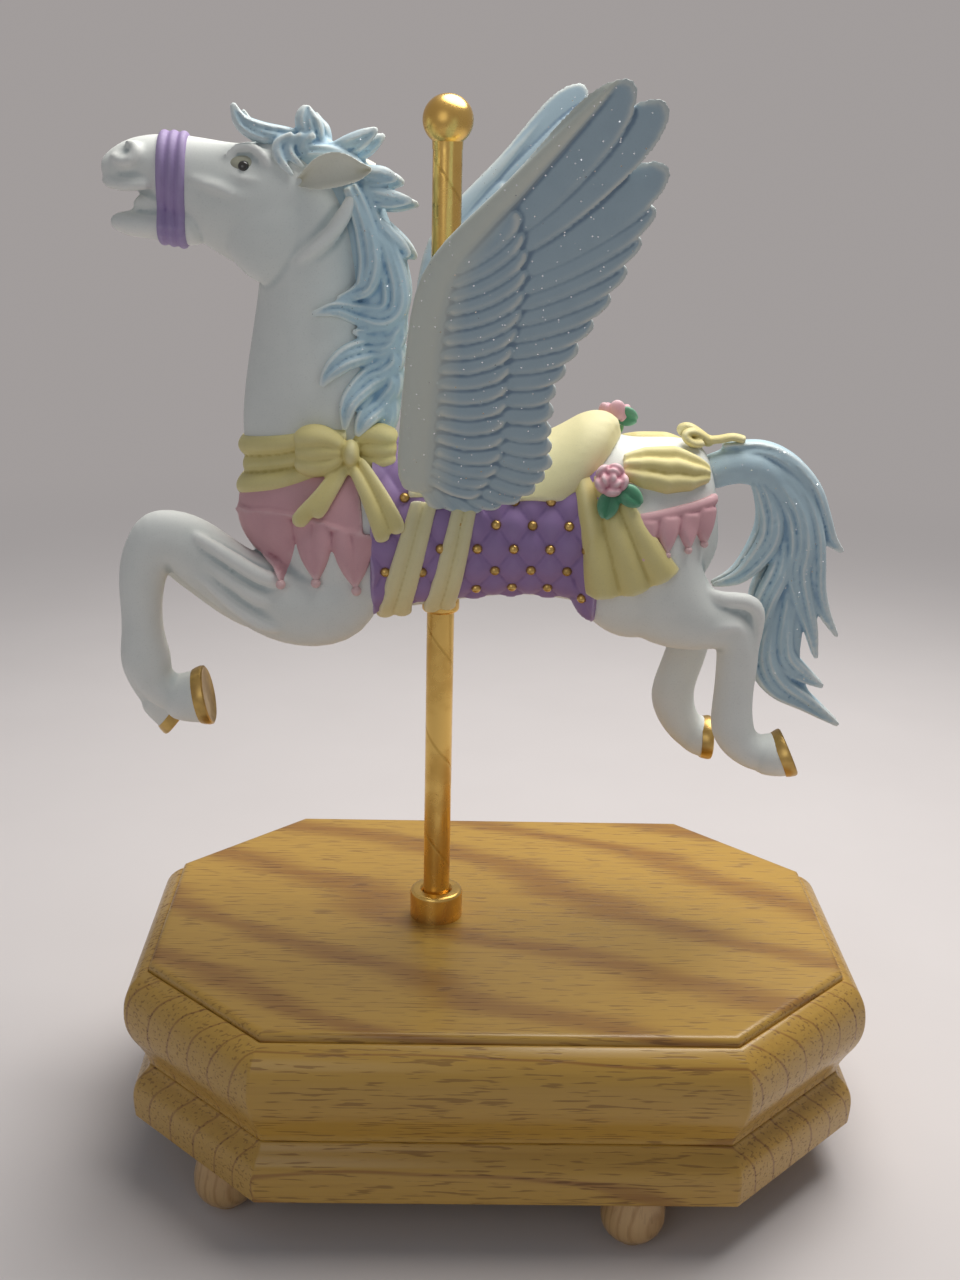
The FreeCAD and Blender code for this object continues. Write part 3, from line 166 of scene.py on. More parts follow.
# growth rings about a far pith, with fibres and open pores that run along X
tree, given, result = effect(
    "wood_grain",
    {"Place": "Vector", "Lie": "Vector", "Light": "Color", "Dark": "Color", "Ring": "Float", "Band": "Float",
     "Pores": "Float"},
    {"Color": "Color", "Pore": "Float"})
wood_grain, place = tree, given["Place"]
sway = noise(tree, place, (0.008, 0.03, 0.03))[1]
swayed = vectors(tree, "MULTIPLY_ADD", {0: sway, 1: (0, 9, 9), 2: place})[0]
pith = vectors(tree, "DOT_PRODUCT", {0: swayed, 1: given["Lie"]})["Value"]
ring = maths(tree, "FRACT", maths(tree, "DIVIDE", pith, given["Ring"]))
edge_of_ring = maths(tree, "ABSOLUTE", maths(tree, "MULTIPLY_ADD", ring, 2.0, -1.0))
early = eased(tree, edge_of_ring, given["Band"], 0.98)
fibre = noise(tree, place, (0.025, 1.1, 1.1), 5.0)[0]
cells = noise(tree, place, (0.13, 1.7, 1.7), 1.0)[0]
pore = maths(tree, "MULTIPLY", eased(tree, cells, 0.585, 0.66), maths(tree, "MULTIPLY_ADD", early, 0.4, 0.6))
pore = maths(tree, "MULTIPLY", pore, given["Pores"])
tone = maths(tree, "ADD", maths(tree, "MULTIPLY", early, 0.55), maths(tree, "MULTIPLY", fibre, 0.8))
timber = mixed(tree, eased(tree, tone, 0.3, 1.15), given["Light"], given["Dark"])
timber = mixed(tree, pore, timber, mixed(tree, 0.45, given["Dark"], (0.05, 0.02, 0.005)))
feed(tree, result, {"Color": timber, "Pore": pore})


def shader(name):
    """A new material: its tree, its Principled shader and its place on the object in millimetres."""
    made = bpy.data.materials.new(name)
    made.use_nodes = True
    tree = made.node_tree
    place = stretched(tree, put(tree, "TexCoord").outputs["Object"], 1 / MM)
    return made, tree, tree.nodes["Principled BSDF"], place


def wooden(name, light, dark, lie, ring_width, pores, band=0.5, turn=(0, 0, 0)):
    """Lacquered wood. Its rings are stacked along lie, and its fibres run along X, turned by an angle."""
    made, tree, bsdf, place = shader(name)
    along = stretched(tree, place, 1, turn)
    grain = put(tree, "Group", {"Place": along, "Lie": lie, "Light": light, "Dark": dark, "Ring": ring_width,
                                "Band": band, "Pores": pores}, node_tree=wood_grain).outputs
    feed(tree, bsdf, {"Base Color": grain["Color"], "Normal": bumped(tree, grain["Pore"], 0.35, 0.15, True),
                      "Roughness": maths(tree, "MULTIPLY_ADD", grain["Pore"], 0.3, 0.36),
                      "Coat Weight": 0.25, "Coat Roughness": 0.22})
    return made


foot_wood = wooden("foot_hardwood", (0.54, 0.34, 0.15), (0.42, 0.24, 0.09), (0, 0.8, 0.6), 2.2, 0.3,
                   turn=(0, radians(90), 0))
for foot in ("corner_left_foot", "front_foot", "corner_right_foot", "rear_foot"):
    low, high = span(foot)
    middle = (low + high) / 2
    radius = (high.x - low.x) / 2
    bullet = [(0, 0), (FOOT_SOLE, 0)] + arc(FOOT_ROUND, radius - FOOT_ROUND[0], -70, 0)
    bullet += [(radius, 8.2), (0.93 * radius, 10.6), (0.86 * radius, FOOT_TOP), (0, FOOT_TOP)]
    turned(foot + "_turning", bullet, foot_wood, "base", "foot_wood", foot, (middle.x, middle.y, 0))

# Oak base. A lengthened octagon is shaped in two layers, a plinth with a lip and a case with a rolled
# shoulder, and a top plate that stands a little proud. Flat-sawn oak with a satin lacquer.
CORNER_CUT = 29.0
EDGE_EASE = 0.45
COLLAR_HOLE = 4.6
WAIST = 26.4
OAK_LIGHT, OAK_DARK = (0.50, 0.29, 0.05), (0.30, 0.135, 0.022)
board_oak = wooden("board_oak", OAK_LIGHT, OAK_DARK, (0.12, 0.2, 0.95), 6.0, 0.9, 0.35)
rail_oak = wooden("rail_oak", OAK_LIGHT, OAK_DARK, (0.015, 0.97, 0.1), 5.2, 1.0, 0.86)
plate_low, plate_high = span("top_plate")
POLE_X = (span("pole")[0].x + span("pole")[1].x) / 2


def octagon(outset, height):
    """The eight corners of the base at one height, moved outward from the edge of the top plate."""
    x, y = plate_high.x + outset, plate_high.y + outset
    short = CORNER_CUT + outset * (2 - sqrt(2))
    quarter = [(x - short, -y), (x, short - y)]
    half = quarter + [(a, -b) for a, b in reversed(quarter)]
    return [(a, b, height) for a, b in half + [(-a, -b) for a, b in half]]


def flowing(points, steps=5):
    """A smooth line through a few points."""
    points = [Vector(point) for point in points]
    ends = [2 * points[0] - points[1], *points, 2 * points[-1] - points[-2]]
    line = []
    for first, start, end, last in zip(ends, ends[1:], ends[2:], ends[3:]):
        for step in range(steps):
            share = step / steps
            line.append(0.5 * (2 * start + (end - first) * share
                               + (2 * first - 5 * start + 4 * end - last) * share ** 2
                               + (3 * start - first - 3 * end + last) * share ** 3))
    return line + [points[-1]]


def grown_from(bm, edges):
    """Draws edges out by one step: the new edges at the rim, and the new points."""
    grown = bmesh.ops.extrude_edge_only(bm, edges=edges)["geom"]
    return ([item for item in grown if isinstance(item, bmesh.types.BMEdge) and item.is_boundary],
            [item for item in grown if isinstance(item, bmesh.types.BMVert)])


def moulding(rings):
    """Runs a closed profile round the base. Each ring is one line of it, mitred at the corners."""
    bm = bmesh.new()
    rings = [[Vector(corner) for corner in ring] for ring in rings]
    corners = [bm.verts.new(corner) for corner in rings[0]]
    edges = [bm.edges.new(pair) for pair in zip(corners, corners[1:] + corners[:1])]
    for ring, following in zip(rings, rings[1:] + rings[:1]):
        edges, verts = grown_from(bm, edges)
        for vert in verts:
            vert.co = following[min(range(len(ring)), key=lambda count: (ring[count] - vert.co).length)]
    bmesh.ops.remove_doubles(bm, verts=bm.verts, dist=WELD)
    bmesh.ops.recalc_face_normals(bm, faces=bm.faces)
    return bm


plinth_curve = flowing([(4.4, FOOT_TOP), (4.7, 16.4), (4.7, 19.4), (4.1, 21.8), (2.9, 23.6), (1.6, 25.0),
                        (0.8, WAIST)], 3)
plinth_profile = [(-6.0, FOOT_TOP), *plinth_curve, (-11.0, WAIST), (-11.0, 16.0), (-6.0, 16.0)]
case_curve = flowing([(0.8, WAIST), (1.2, 28.4), (2.6, 31.2), (4.5, 34.4), (5.6, 37.6), (5.9, 41.0),
                      (5.4, 45.0), (3.7, 48.6), (0.9, 51.0)], 3)
case_profile = [(-11.0, WAIST), *case_curve, (0.05, 51.0), (0.05, 48.0), (-11.0, 48.0)]
for name, profile, cad_node in (("plinth_oak", plinth_profile, "lower_plinth"),
                                ("case_oak", case_profile, "upper_case")):
    rail = piece(name, moulding([octagon(*line) for line in profile]), rail_oak, "base", "oak", cad_node)
    ease = rail.modifiers.new("eased_edges", "BEVEL")
    ease.width = EDGE_EASE * MM
    ease.segments = 2
    ease.limit_method = "ANGLE"
    ease.angle_limit = radians(28)

rounded_edge = ((0.15, 0.75), (0.55, 0.25), (1.2, 0.0), (2, 0.0))
plate_rings = [octagon(0, plate_low.z), octagon(0, plate_high.z - 1.3)]
plate_rings += [octagon(-inset, plate_high.z - drop) for inset, drop in rounded_edge]
spokes = [Vector((x - POLE_X, y)).normalized() * COLLAR_HOLE for x, y, z in octagon(0, 0)]
for height in (plate_high.z, plate_low.z):
    plate_rings.append([(POLE_X + spoke.x, spoke.y, height) for spoke in spokes])
piece("plate_oak", moulding(plate_rings), board_oak, "base", "oak", "top_plate")

# Movement, bottom board, screws and key. They are hidden or under the base: a plain board let into the
# plinth, a plated steel key, and a brass and steel wind-up movement on a cast bed.
handling, given, result = effect("handling", {"Place": "Vector"}, {"Smudge": "Float", "Scratch": "Float"})
smudge = eased(handling, noise(handling, given["Place"], 0.16, 3.0)[0], 0.35, 0.7)
scratch = eased(handling, noise(handling, given["Place"], (6, 6, 0.25), 1.0)[0], 0.45, 0.75)
feed(handling, result, {"Smudge": smudge, "Scratch": scratch})


def metal(name, bright, dull, polish):
    """A bare metal, dulled in patches by handling and finely scratched along its length."""
    made, tree, bsdf, place = shader(name)
    touched = put(tree, "Group", {"Place": place}, node_tree=handling).outputs
    feed(tree, bsdf, {"Base Color": mixed(tree, touched["Smudge"], bright, dull), "Metallic": 1.0,
                      "Roughness": maths(tree, "MULTIPLY_ADD", touched["Smudge"], 0.14, polish),
                      "Normal": bumped(tree, touched["Scratch"], 0.06, 0.05)})
    return made


def moulded(name, light, dark, rough):
    """A plain board or plastic with a slight mottle."""
    made, tree, bsdf, place = shader(name)
    mottle = noise(tree, place, 0.8, 4.0)[0]
    feed(tree, bsdf, {"Base Color": mixed(tree, mottle, light, dark), "Roughness": rough,
                      "Normal": bumped(tree, mottle, 0.2, 0.1)})
    return made


movement_finish = {
    "brass": metal("movement_brass", (0.78, 0.57, 0.22), (0.62, 0.43, 0.15), 0.26),
    "steel": metal("movement_steel", (0.62, 0.63, 0.64), (0.45, 0.45, 0.46), 0.3),
    "zinc": metal("cast_bed", (0.52, 0.53, 0.55), (0.40, 0.41, 0.42), 0.45),
    "nylon": moulded("cam_nylon", (0.80, 0.79, 0.74), (0.70, 0.69, 0.64), 0.5),
    "cover_board": moulded("bottom_board", (0.42, 0.29, 0.16), (0.30, 0.20, 0.10), 0.75),
}
for subpart in frame["record"]["subparts"]:
    finish = movement_finish.get(subpart["material_slot"])
    if finish:
        frame["nodes"][subpart["node"]].data.materials.clear()
        frame["nodes"][subpart["node"]].data.materials.append(finish)

# Brass pole. A collar pressed into the plate guides a drawn rod that carries the horse. A ball is screwed
# on its head, and a ring under the belly seats the cast. Lacquered brass, with the rod's spiral seam.
SEAM_PITCH = 26.0
SEAM_WIDTH = 0.035
FIT = 0.1
COLLAR_ROUND, RING_ROUND = 0.9, 0.8
BELLY_RIM = 4.3
BRASS_BRIGHT, BRASS_DULL, SEAM_BROWN = (0.80, 0.53, 0.16), (0.68, 0.43, 0.12), (0.60, 0.38, 0.10)
turned_brass = metal("turned_brass", BRASS_BRIGHT, BRASS_DULL, 0.22)
rod_brass, tree, bsdf, place = shader("drawn_rod")
touched = put(tree, "Group", {"Place": place}, node_tree=handling).outputs
around = put(tree, "SeparateXYZ", {0: stretched(tree, place, 1, shift=(-POLE_X, 0, 0))}).outputs
bearing = maths(tree, "DIVIDE", maths(tree, "ARCTAN2", around["Y"], around["X"]), FULL_TURN)
winding = maths(tree, "FRACT", maths(tree, "MULTIPLY_ADD", around["Z"], 1 / SEAM_PITCH, bearing))
seam = eased(tree, maths(tree, "ABSOLUTE", maths(tree, "SUBTRACT", winding, 0.5)), 0.0, SEAM_WIDTH)
worn = mixed(tree, touched["Smudge"], BRASS_BRIGHT, BRASS_DULL)
scored = maths(tree, "MULTIPLY_ADD", touched["Scratch"], 0.1, seam)
feed(tree, bsdf, {"Base Color": mixed(tree, seam, SEAM_BROWN, worn), "Metallic": 1.0,
                  "Roughness": maths(tree, "MULTIPLY_ADD", touched["Smudge"], 0.14, 0.2),
                  "Normal": bumped(tree, scored, 0.3, 0.1)})


def on_pole(name, outline, material, body, node):
    turned(name, outline, material, body, "brass", node, (POLE_X, 0, 0))


low, high = span("pole")
rod = (high.y - low.y) / 2
on_pole("brass_rod", [(0, low.z), (rod - 0.4, low.z), (rod, low.z + 0.4), (rod, high.z), (0, high.z)],
        rod_brass, "rider", "pole")

low, high = span("ball_finial")
ball = (high.y - low.y) / 2
on_pole("brass_ball", [(0, low.z), (rod + FIT, low.z), (rod + FIT, low.z + 0.6)]
        + arc((0, high.z - ball), ball, -52, 90, 18), turned_brass, "rider", "ball_finial")

low, high = span("base_collar")
rim, shank, bore = (high.y - low.y) / 2, COLLAR_HOLE + FIT, rod + FIT
on_pole("brass_collar", [(bore, low.z), (shank, low.z), (shank, plate_high.z), (rim, plate_high.z)]
        + [(rim, high.z - COLLAR_ROUND)]
        + arc((rim - COLLAR_ROUND, high.z - COLLAR_ROUND), COLLAR_ROUND, 0, 90, 5)
        + [(bore + 0.7, high.z), (bore, high.z - 0.7), (bore, low.z)], turned_brass, "base", "base_collar")

low, high = span("belly_ring")
inner, bore = BELLY_RIM - RING_ROUND, rod - FIT / 2
on_pole("brass_belly_ring", [(bore, low.z), (inner, low.z)]
        + arc((inner, low.z + RING_ROUND), RING_ROUND, -90, 0, 4)
        + arc((inner, high.z - RING_ROUND), RING_ROUND, 0, 90, 4) + [(bore, high.z), (bore, low.z)],
        turned_brass, "rider", "belly_ring")

# Horse. A leaping horse is slip-cast in white porcelain, fettled smooth and fired unglazed, so that it is
# matte. The forms of body, neck, head and legs run into one skin, and thin paint gathers in its hollows;
# their grey-blue tone is painted shade as well, and the lighter tone on its ridges a painted highlight.
SKIN_VOXEL, TRUNK_VOXEL = 0.66, 0.9
TORSO = [
    (-59.4, 160.6, 4.2, 4.2), (-55.6, 159.8, 11.4, 10.2), (-47.6, 156.2, 17.4, 14.5),
    (-33, 150.9, 21.7, 17), (-15.1, 151.2, 17.4, 16.5), (5.1, 152, 15.1, 15.1),
    (20.2, 152.6, 19.6, 16.1), (32, 152.8, 23.2, 17.3), (38, 159.2, 17.2, 14.6), (43.6, 162.6, 12, 10.6),
    (46.8, 163, 7.6, 6.4)]
NECK = [
    (-41, 159.3, 15.6, 9.4), (-42.4, 171, 17.2, 10.6), (-43, 180, 16.4, 10.6), (-43.6, 192.3, 13.6, 9.7),
    (-43.1, 206.2, 11.5, 8.7), (-43.4, 217.4, 11.05, 8.2), (-44.8, 226.6, 8.8, 6.9),
    (-46.2, 231.9, 4.4, 3.7)]
SKULL = [
    (-87.6, 227.5, 2, 2.6), (-85.2, 227.9, 4, 5), (-80.5, 229.3, 5.7, 6.3), (-75, 228.9, 6.9, 6.4),
    (-70, 226.9, 8.9, 6.2), (-64, 223.9, 10.9, 6.8), (-58, 221.6, 13, 7.9), (-52, 220.6, 15.4, 8.2),
    (-46, 221.8, 14.7, 7.8), (-41, 222.5, 12.5, 6.5)]
CHIN = [
    (-86.4, 217.4, 1.2, 2), (-83.6, 217, 2.5, 3.8), (-80, 216.7, 3, 4.6), (-76.5, 216.6, 3.1, 4.9),
    (-71.5, 216.8, 4, 5.2), (-66, 217, 5.6, 5.6)]
MOUTH = [(-81.5, 221, 1.5, 2.2), (-76, 221, 2.8, 3.6), (-68, 221.5, 4, 4.6)]
FORELEG = [
    (-30.6, 148.9, 7, 6), (-38.1, 135.8, 12.2, 7.8), (-46.1, 135.4, 11.2, 7.8), (-55.6, 137.5, 8.4, 6.8),
    (-64, 143.6, 7.2, 5.8), (-70.8, 149, 7.8, 5.6), (-77.3, 150.8, 8.4, 5.6), (-80.9, 143.6, 5.6, 4.9),
    (-81.3, 134.9, 4.4, 4.3), (-81.2, 127.6, 4.5, 4.3), (-80.9, 121.6, 6.1, 5), (-79.6, 116.6, 4.8, 4.6),
    (-75.8, 113.4, 4.4, 4.5), (-71.5, 113, 4.8, 5)]
FORE_HOOF = [
    (-76.6, 112.7, 3.2, 3.4), (-75.4, 112.6, 5.2, 5), (-71.5, 112.7, 5.9, 5.7), (-68.6, 113.1, 6.4, 6.2),
    (-67.6, 113.3, 6.5, 6.3)]
FAR_FORELEG = FORELEG[:11] + [(-79.8, 116, 4.8, 4.6), (-77.6, 112.4, 4.6, 4.6), (-75, 110.4, 4.8, 5)]
FAR_FORE_HOOF = [
    (-79.6, 113.6, 3.2, 3.4), (-78.7, 112.8, 5.1, 5), (-75.6, 110.4, 5.7, 5.6), (-73.4, 108.7, 6.1, 6),
    (-72.6, 108.1, 6.2, 6.1)]
NEAR_HIND_LEG = [
    (29.8, 158.2, 11.8, 8.5), (29.6, 146.2, 13.8, 8.8), (36.6, 136, 11.6, 8), (45.6, 132.4, 6.9, 6.2),
    (52, 131.8, 6, 5.4), (53.5, 126.2, 5.2, 4.8), (53, 118.2, 4.5, 4.3), (52.8, 111.5, 4.8, 4.5),
    (53.1, 107.4, 5.3, 4.8), (55, 103.6, 4.6, 4.5), (58.4, 101.3, 4.3, 4.6), (61.8, 100.6, 4.4, 4.8)]
NEAR_HIND_HOOF = [
    (58.8, 100.9, 3.2, 3.4), (60, 100.8, 4.7, 4.9), (63.2, 100.6, 5.1, 5.6), (65.4, 100.9, 5.3, 5.9),
    (66.3, 101.3, 5.4, 6)]
FAR_HIND_LEG = [
    (30.6, 158.2, 12.5, 8.5), (30.4, 146.2, 15.2, 8.8), (35.2, 135.4, 11.5, 8), (41.6, 129.6, 7, 6.2),
    (45.6, 125.2, 5.8, 5.2), (44.8, 119, 5, 4.6), (42.6, 112.6, 5, 4.6), (41.6, 107.6, 5.6, 4.9),
    (43.2, 102.6, 4.9, 4.6), (46, 98.9, 4.4, 4.6), (48.6, 97, 4.4, 4.8)]
FAR_HIND_HOOF = [
    (45.4, 99.4, 3.2, 3.4), (46.6, 98.5, 4.5, 4.8), (49, 97.2, 4.9, 5.4), (50.6, 96.8, 5, 5.7),
    (51.3, 96.8, 5, 5.8)]
LEG_TRACK = 10.0
FAR_FORE_SHIFT = (-4.6, -6.6)
ELBOW = 3
LEGS = [
    (FORELEG, FORE_HOOF, -LEG_TRACK, (0, 0)),
    (FAR_FORELEG, FAR_FORE_HOOF, LEG_TRACK, FAR_FORE_SHIFT),
    (NEAR_HIND_LEG, NEAR_HIND_HOOF, -LEG_TRACK, (0, 0)),
    (FAR_HIND_LEG, FAR_HIND_HOOF, LEG_TRACK, (0, 0))]
FOREARM = [(142, 142.6, 147.4, 152.4), (138, 137.4, 142.4, 148.6), (132.8, 131.8, 137, 144.6)]
FACE_BONES = [
    [(-33.5, 6.6, 225, 1.5), (-37.4, 7.6, 217.6, 1.9), (-43.4, 7.8, 212, 1.7), (-50, 5.6, 207.6, 0.9)],
    [(-61, 5, 231, 0.5), (-58.8, 4.4, 232.8, 0.9), (-55.8, 4.5, 233.2, 1.1), (-53.2, 5.6, 232, 1.1),
     (-51.2, 6.7, 229.6, 0.7)],
    [(-60.2, 5.9, 228.2, 0.4), (-57, 6.8, 226.9, 0.7), (-53.6, 7.3, 226.5, 0.5)],
    [(-71, 5.2, 228, 0.6), (-66.5, 5.8, 226.2, 1.3), (-62, 6.5, 224.8, 1.5), (-57.5, 7, 223.2, 1),
     (-53, 7.2, 222.4, 0.5)],
    [(-84.4, 3.8, 231.2, 0.9), (-82.8, 5.2, 229.9, 1.3), (-80.4, 6.1, 229.9, 1.4), (-79.1, 5.8, 231.6, 1.3),
     (-79.8, 4.9, 233.2, 1.1), (-81.8, 4.2, 233.6, 0.8)],
    [(-87, 1.5, 225.8, 0.8), (-84.8, 3.9, 225.2, 1.4), (-81, 5.2, 225, 1.5), (-76.5, 5.7, 225.2, 1.2)]]
HOCKS = [
    [(40.5, -12.5, 142.2, 1.2), (47.9, -12.8, 139.2, 1.9), (53.5, -12.2, 138.4, 2.2),
     (56.6, -11.6, 135.6, 2.2), (56.4, -11.4, 128, 1.7), (55.9, -11.2, 118.8, 1.4),
     (55.8, -11.2, 110.6, 1.6)],
    [(36.5, -15, 131.2, 1.2), (46.4, -14.6, 132.8, 1.9), (52, -13.8, 132.8, 1.9), (53.8, -13.2, 128.5, 1.3)],
    [(38.5, 12.5, 139.6, 1.2), (43.6, 12.8, 136.4, 1.9), (47.6, 12.2, 132.8, 2.1), (49.6, 11.6, 128.6, 2.1),
     (48.6, 11.4, 121.4, 1.6), (45.9, 11.2, 113.4, 1.4), (45.2, 11.2, 108.4, 1.6)],
    [(33.5, 15, 130.6, 1.2), (41.6, 14.6, 130.6, 1.8), (46, 13.8, 127.4, 1.8), (46.6, 13.2, 122.6, 1.3)]]


def drawn(bm, stations, side=(0, 1, 0), sides=16):
    """Draws a ring along the middle of a form and closes both ends. A station is the middle, the half depth
    and the half width, and the width lies along side."""
    middles = [Vector(station[0]) for station in stations]
    places = []
    for count, (middle, depth, width) in enumerate(stations):
        along = (middles[min(count + 1, len(middles) - 1)] - middles[max(count - 1, 0)]).normalized()
        across = Vector(side)
        across = (across - along * across.dot(along)).normalized()
        turn = Matrix((across * width, along.cross(across) * depth, along)).transposed()
        places.append(Matrix.Translation(middle) @ turn.to_4x4())
    ring = bmesh.ops.create_circle(bm, cap_ends=True, segments=sides, radius=1.0, matrix=places[0])["verts"]
    edges = list({edge for vert in ring for edge in vert.link_edges})
    for before, after in zip(places, places[1:]):
        edges, verts = grown_from(bm, edges)
        bmesh.ops.transform(bm, matrix=after @ before.inverted(), verts=verts)
    return bmesh.ops.edgeloop_fill(bm, edges=edges)["faces"]


def lump(bm, centre, radii, turn=(0, 0, 0), fine=3):
    """A rounded swelling, turned by angles in degrees about X, Y and Z."""
    spin = Matrix.Rotation(radians(turn[2]), 4, "Z") @ Matrix.Rotation(radians(turn[1]), 4, "Y")
    spin = spin @ Matrix.Rotation(radians(turn[0]), 4, "X")
    bmesh.ops.create_icosphere(bm, subdivisions=fine, radius=1.0,
                               matrix=Matrix.Translation(centre) @ spin @ Matrix.Diagonal((*radii, 1)))


def midline(stations, y=0.0, shift=(0, 0), full=1):
    """Stations of (x, z, half depth, half width) in one upright plane. A shift grows along them until it is
    full at one of them."""
    shares = [min(1.0, count / full) if full else 1.0 for count in range(len(stations))]
    return [((x + shift[0] * share, y, z + shift[1] * share), depth, width)
            for share, (x, z, depth, width) in zip(shares, stations)]


def run_together(bm, voxel, passes, rounding=2):
    """Melts closed forms into one skin, as a mould gives them, and smooths it by so many passes."""
    bmesh.ops.recalc_face_normals(bm, faces=bm.faces)
    mesh = bpy.data.meshes.new("mould")
    bm.to_mesh(mesh)
    mould = bpy.data.objects.new("mould", mesh)
    bpy.context.scene.collection.objects.link(mould)
    if rounding:
        rounded = mould.modifiers.new("rounded", "SUBSURF")
        rounded.levels = rounded.render_levels = rounding
    melted = mould.modifiers.new("melted", "REMESH")
    melted.mode = "VOXEL"
    melted.voxel_size = voxel
    fettled = mould.modifiers.new("fettled", "SMOOTH")
    fettled.iterations = passes
    whole = bpy.data.meshes.new_from_object(mould.evaluated_get(bpy.context.evaluated_depsgraph_get()))
    bm.clear()
    bm.from_mesh(whole)
    bpy.data.objects.remove(mould)
    bpy.data.meshes.remove(mesh)
    bpy.data.meshes.remove(whole)


def mark_hollows(made, passes, depth):
    """Stores on a piece how far each point lies under its smoothed surface, as a share of a depth in mm."""
    mesh = made.data
    count = len(mesh.vertices)
    spots, normals = numpy.empty(count * 3), numpy.empty(count * 3)
    mesh.vertices.foreach_get("co", spots)
    mesh.vertices.foreach_get("normal", normals)
    spots = spots.reshape(-1, 3)
    ends = numpy.empty(len(mesh.edges) * 2, dtype=numpy.int32)
    mesh.edges.foreach_get("vertices", ends)
    here, there = numpy.concatenate((ends[0::2], ends[1::2])), numpy.concatenate((ends[1::2], ends[0::2]))
    links = numpy.maximum(numpy.bincount(here, minlength=count), 1)
    soft = spots.copy()
    for step in range(passes):
        for axis in range(3):
            soft[:, axis] = numpy.bincount(here, weights=soft[there, axis], minlength=count) / links
    below = ((soft - spots) * normals.reshape(-1, 3)).sum(axis=1) / (depth * MM)
    mark = mesh.attributes.new("hollow", "FLOAT", "POINT")
    mark.data.foreach_set("value", numpy.clip(below, -1.0, 1.0).astype(numpy.float32))
    return made


# thin paint on bisque: it settles in the hollows, is rubbed thin on the ridges and mottles a little.
# The darker tone in the hollows is also painted shade, and the lighter tone on the ridges a painted highlight
tree, given, result = effect(
    "bisque_paint_and_shade", {"Place": "Vector", "Hollow": "Float", "Paint": "Color", "Wash_and_shade": "Color", "Rub_and_highlight": "Color"},
    {"Color": "Color", "Grain": "Float"})
bisque_paint_and_shade, place, hollow = tree, given["Place"], given["Hollow"]
cloud, speck, grain = noise(tree, place, 0.22, 3.0)[0], noise(tree, place, 3.2)[0], noise(tree, place, 5)[0]
clouded = maths(tree, "MULTIPLY", eased(tree, cloud, 0.35, 0.75), 0.09)
tint = mixed(tree, clouded, given["Paint"], given["Wash_and_shade"])
# hollows take the wash colour: paint and painted shade together
tint = mixed(tree, eased(tree, hollow, 0.05, 0.7), tint, given["Wash_and_shade"])
# ridges take the rub colour: paint and a painted highlight together
tint = mixed(tree, eased(tree, maths(tree, "MULTIPLY", hollow, -1.0), 0.12, 0.8), tint, given["Rub_and_highlight"])
tint = mixed(tree, maths(tree, "MULTIPLY", eased(tree, speck, 0.55, 0.75), 0.10), tint, (0.2, 0.2, 0.2))
feed(tree, result, {"Color": tint, "Grain": grain})

# flakes of glitter in the paint, each lying at a tilt of its own
tree, given, result = effect("glitter", {"Place": "Vector", "Share": "Float"},
                             {"Flake": "Float", "Tilt": "Color"})
glitter = tree
scatter = put(tree, "TexVoronoi", {"Vector": given["Place"], "Scale": 1.9}).outputs
draw = put(tree, "SeparateColor", {0: scatter["Color"]}).outputs
chosen = maths(tree, "LESS_THAN", draw[0], given["Share"])
flake = maths(tree, "MULTIPLY", chosen, maths(tree, "LESS_THAN", scatter["Distance"], 0.32))
feed(tree, result, {"Flake": flake, "Tilt": scatter["Color"]})


def painted(name, paint, wash_and_shade, rub_and_highlight, rough=0.6, flakes=0.0, lead=None):
    """Matte paint on bisque porcelain, with glitter on a share of it. It may pass into a lead colour."""
    made, tree, bsdf, place = shader(name)
    hollow = put(tree, "Attribute", attribute_name="hollow").outputs["Fac"]
    # the wash colour is painted shade in the hollows as well as paint, and the rub colour a painted highlight
    # on the ridges as well as paint
    coat = put(tree, "Group", {"Place": place, "Hollow": hollow, "Paint": paint, "Wash_and_shade": wash_and_shade, "Rub_and_highlight": rub_and_highlight},
               node_tree=bisque_paint_and_shade).outputs
    colour, roughness = coat["Color"], maths(tree, "MULTIPLY_ADD", coat["Grain"], 0.16, rough - 0.08)
    normal = bumped(tree, coat["Grain"], 0.12, 0.12)
    if lead:
        ahead = put(tree, "Attribute", attribute_name="lead").outputs["Fac"]
        colour = mixed(tree, ahead, colour, mixed(tree, 0.3, lead, colour))
    if flakes:
        sparkle = put(tree, "Group", {"Place": place, "Share": flakes}, node_tree=glitter).outputs
        flake = sparkle["Flake"]
        colour = mixed(tree, flake, colour, (0.93, 0.97, 1.0))
        roughness = maths(tree, "MULTIPLY", roughness, maths(tree, "MULTIPLY_ADD", flake, -0.7, 1.0))
        lean = vectors(tree, "SUBTRACT", {0: sparkle["Tilt"], 1: (0.5, 0.5, 0.5)})[0]
        lean = vectors(tree, "SCALE", {0: lean, "Scale": flake})[0]
        normal = vectors(tree, "ADD", {0: normal, 1: lean})[0]
        normal = vectors(tree, "NORMALIZE", {0: normal})[0]
        feed(tree, bsdf, {"Metallic": maths(tree, "MULTIPLY", flake, 0.8)})
    feed(tree, bsdf, {"Base Color": colour, "Roughness": roughness, "Normal": normal,
                      "Specular IOR Level": 0.35})
    return made


# the grey-blue wash is painted shade in the hollows of the white horse, with a little thin paint, and the
# lighter rub a painted highlight on its ridges
bisque = painted("white_bisque", (0.77, 0.785, 0.75), (0.50, 0.555, 0.55), (0.83, 0.835, 0.80))

trunk = bmesh.new()
drawn(trunk, midline(TORSO))
drawn(trunk, midline(NECK))
for side in (-1, 1):
    lump(trunk, (28.8, side * 9.5, 147), (15.2, 9.0, 18.5))
    lump(trunk, (-37, side * 8.5, 146), (13.5, 8.6, 15))
horse = trunk.copy()
run_together(trunk, TRUNK_VOXEL, 6)
trunk_skin = BVHTree.FromBMesh(trunk)
trunk.free()


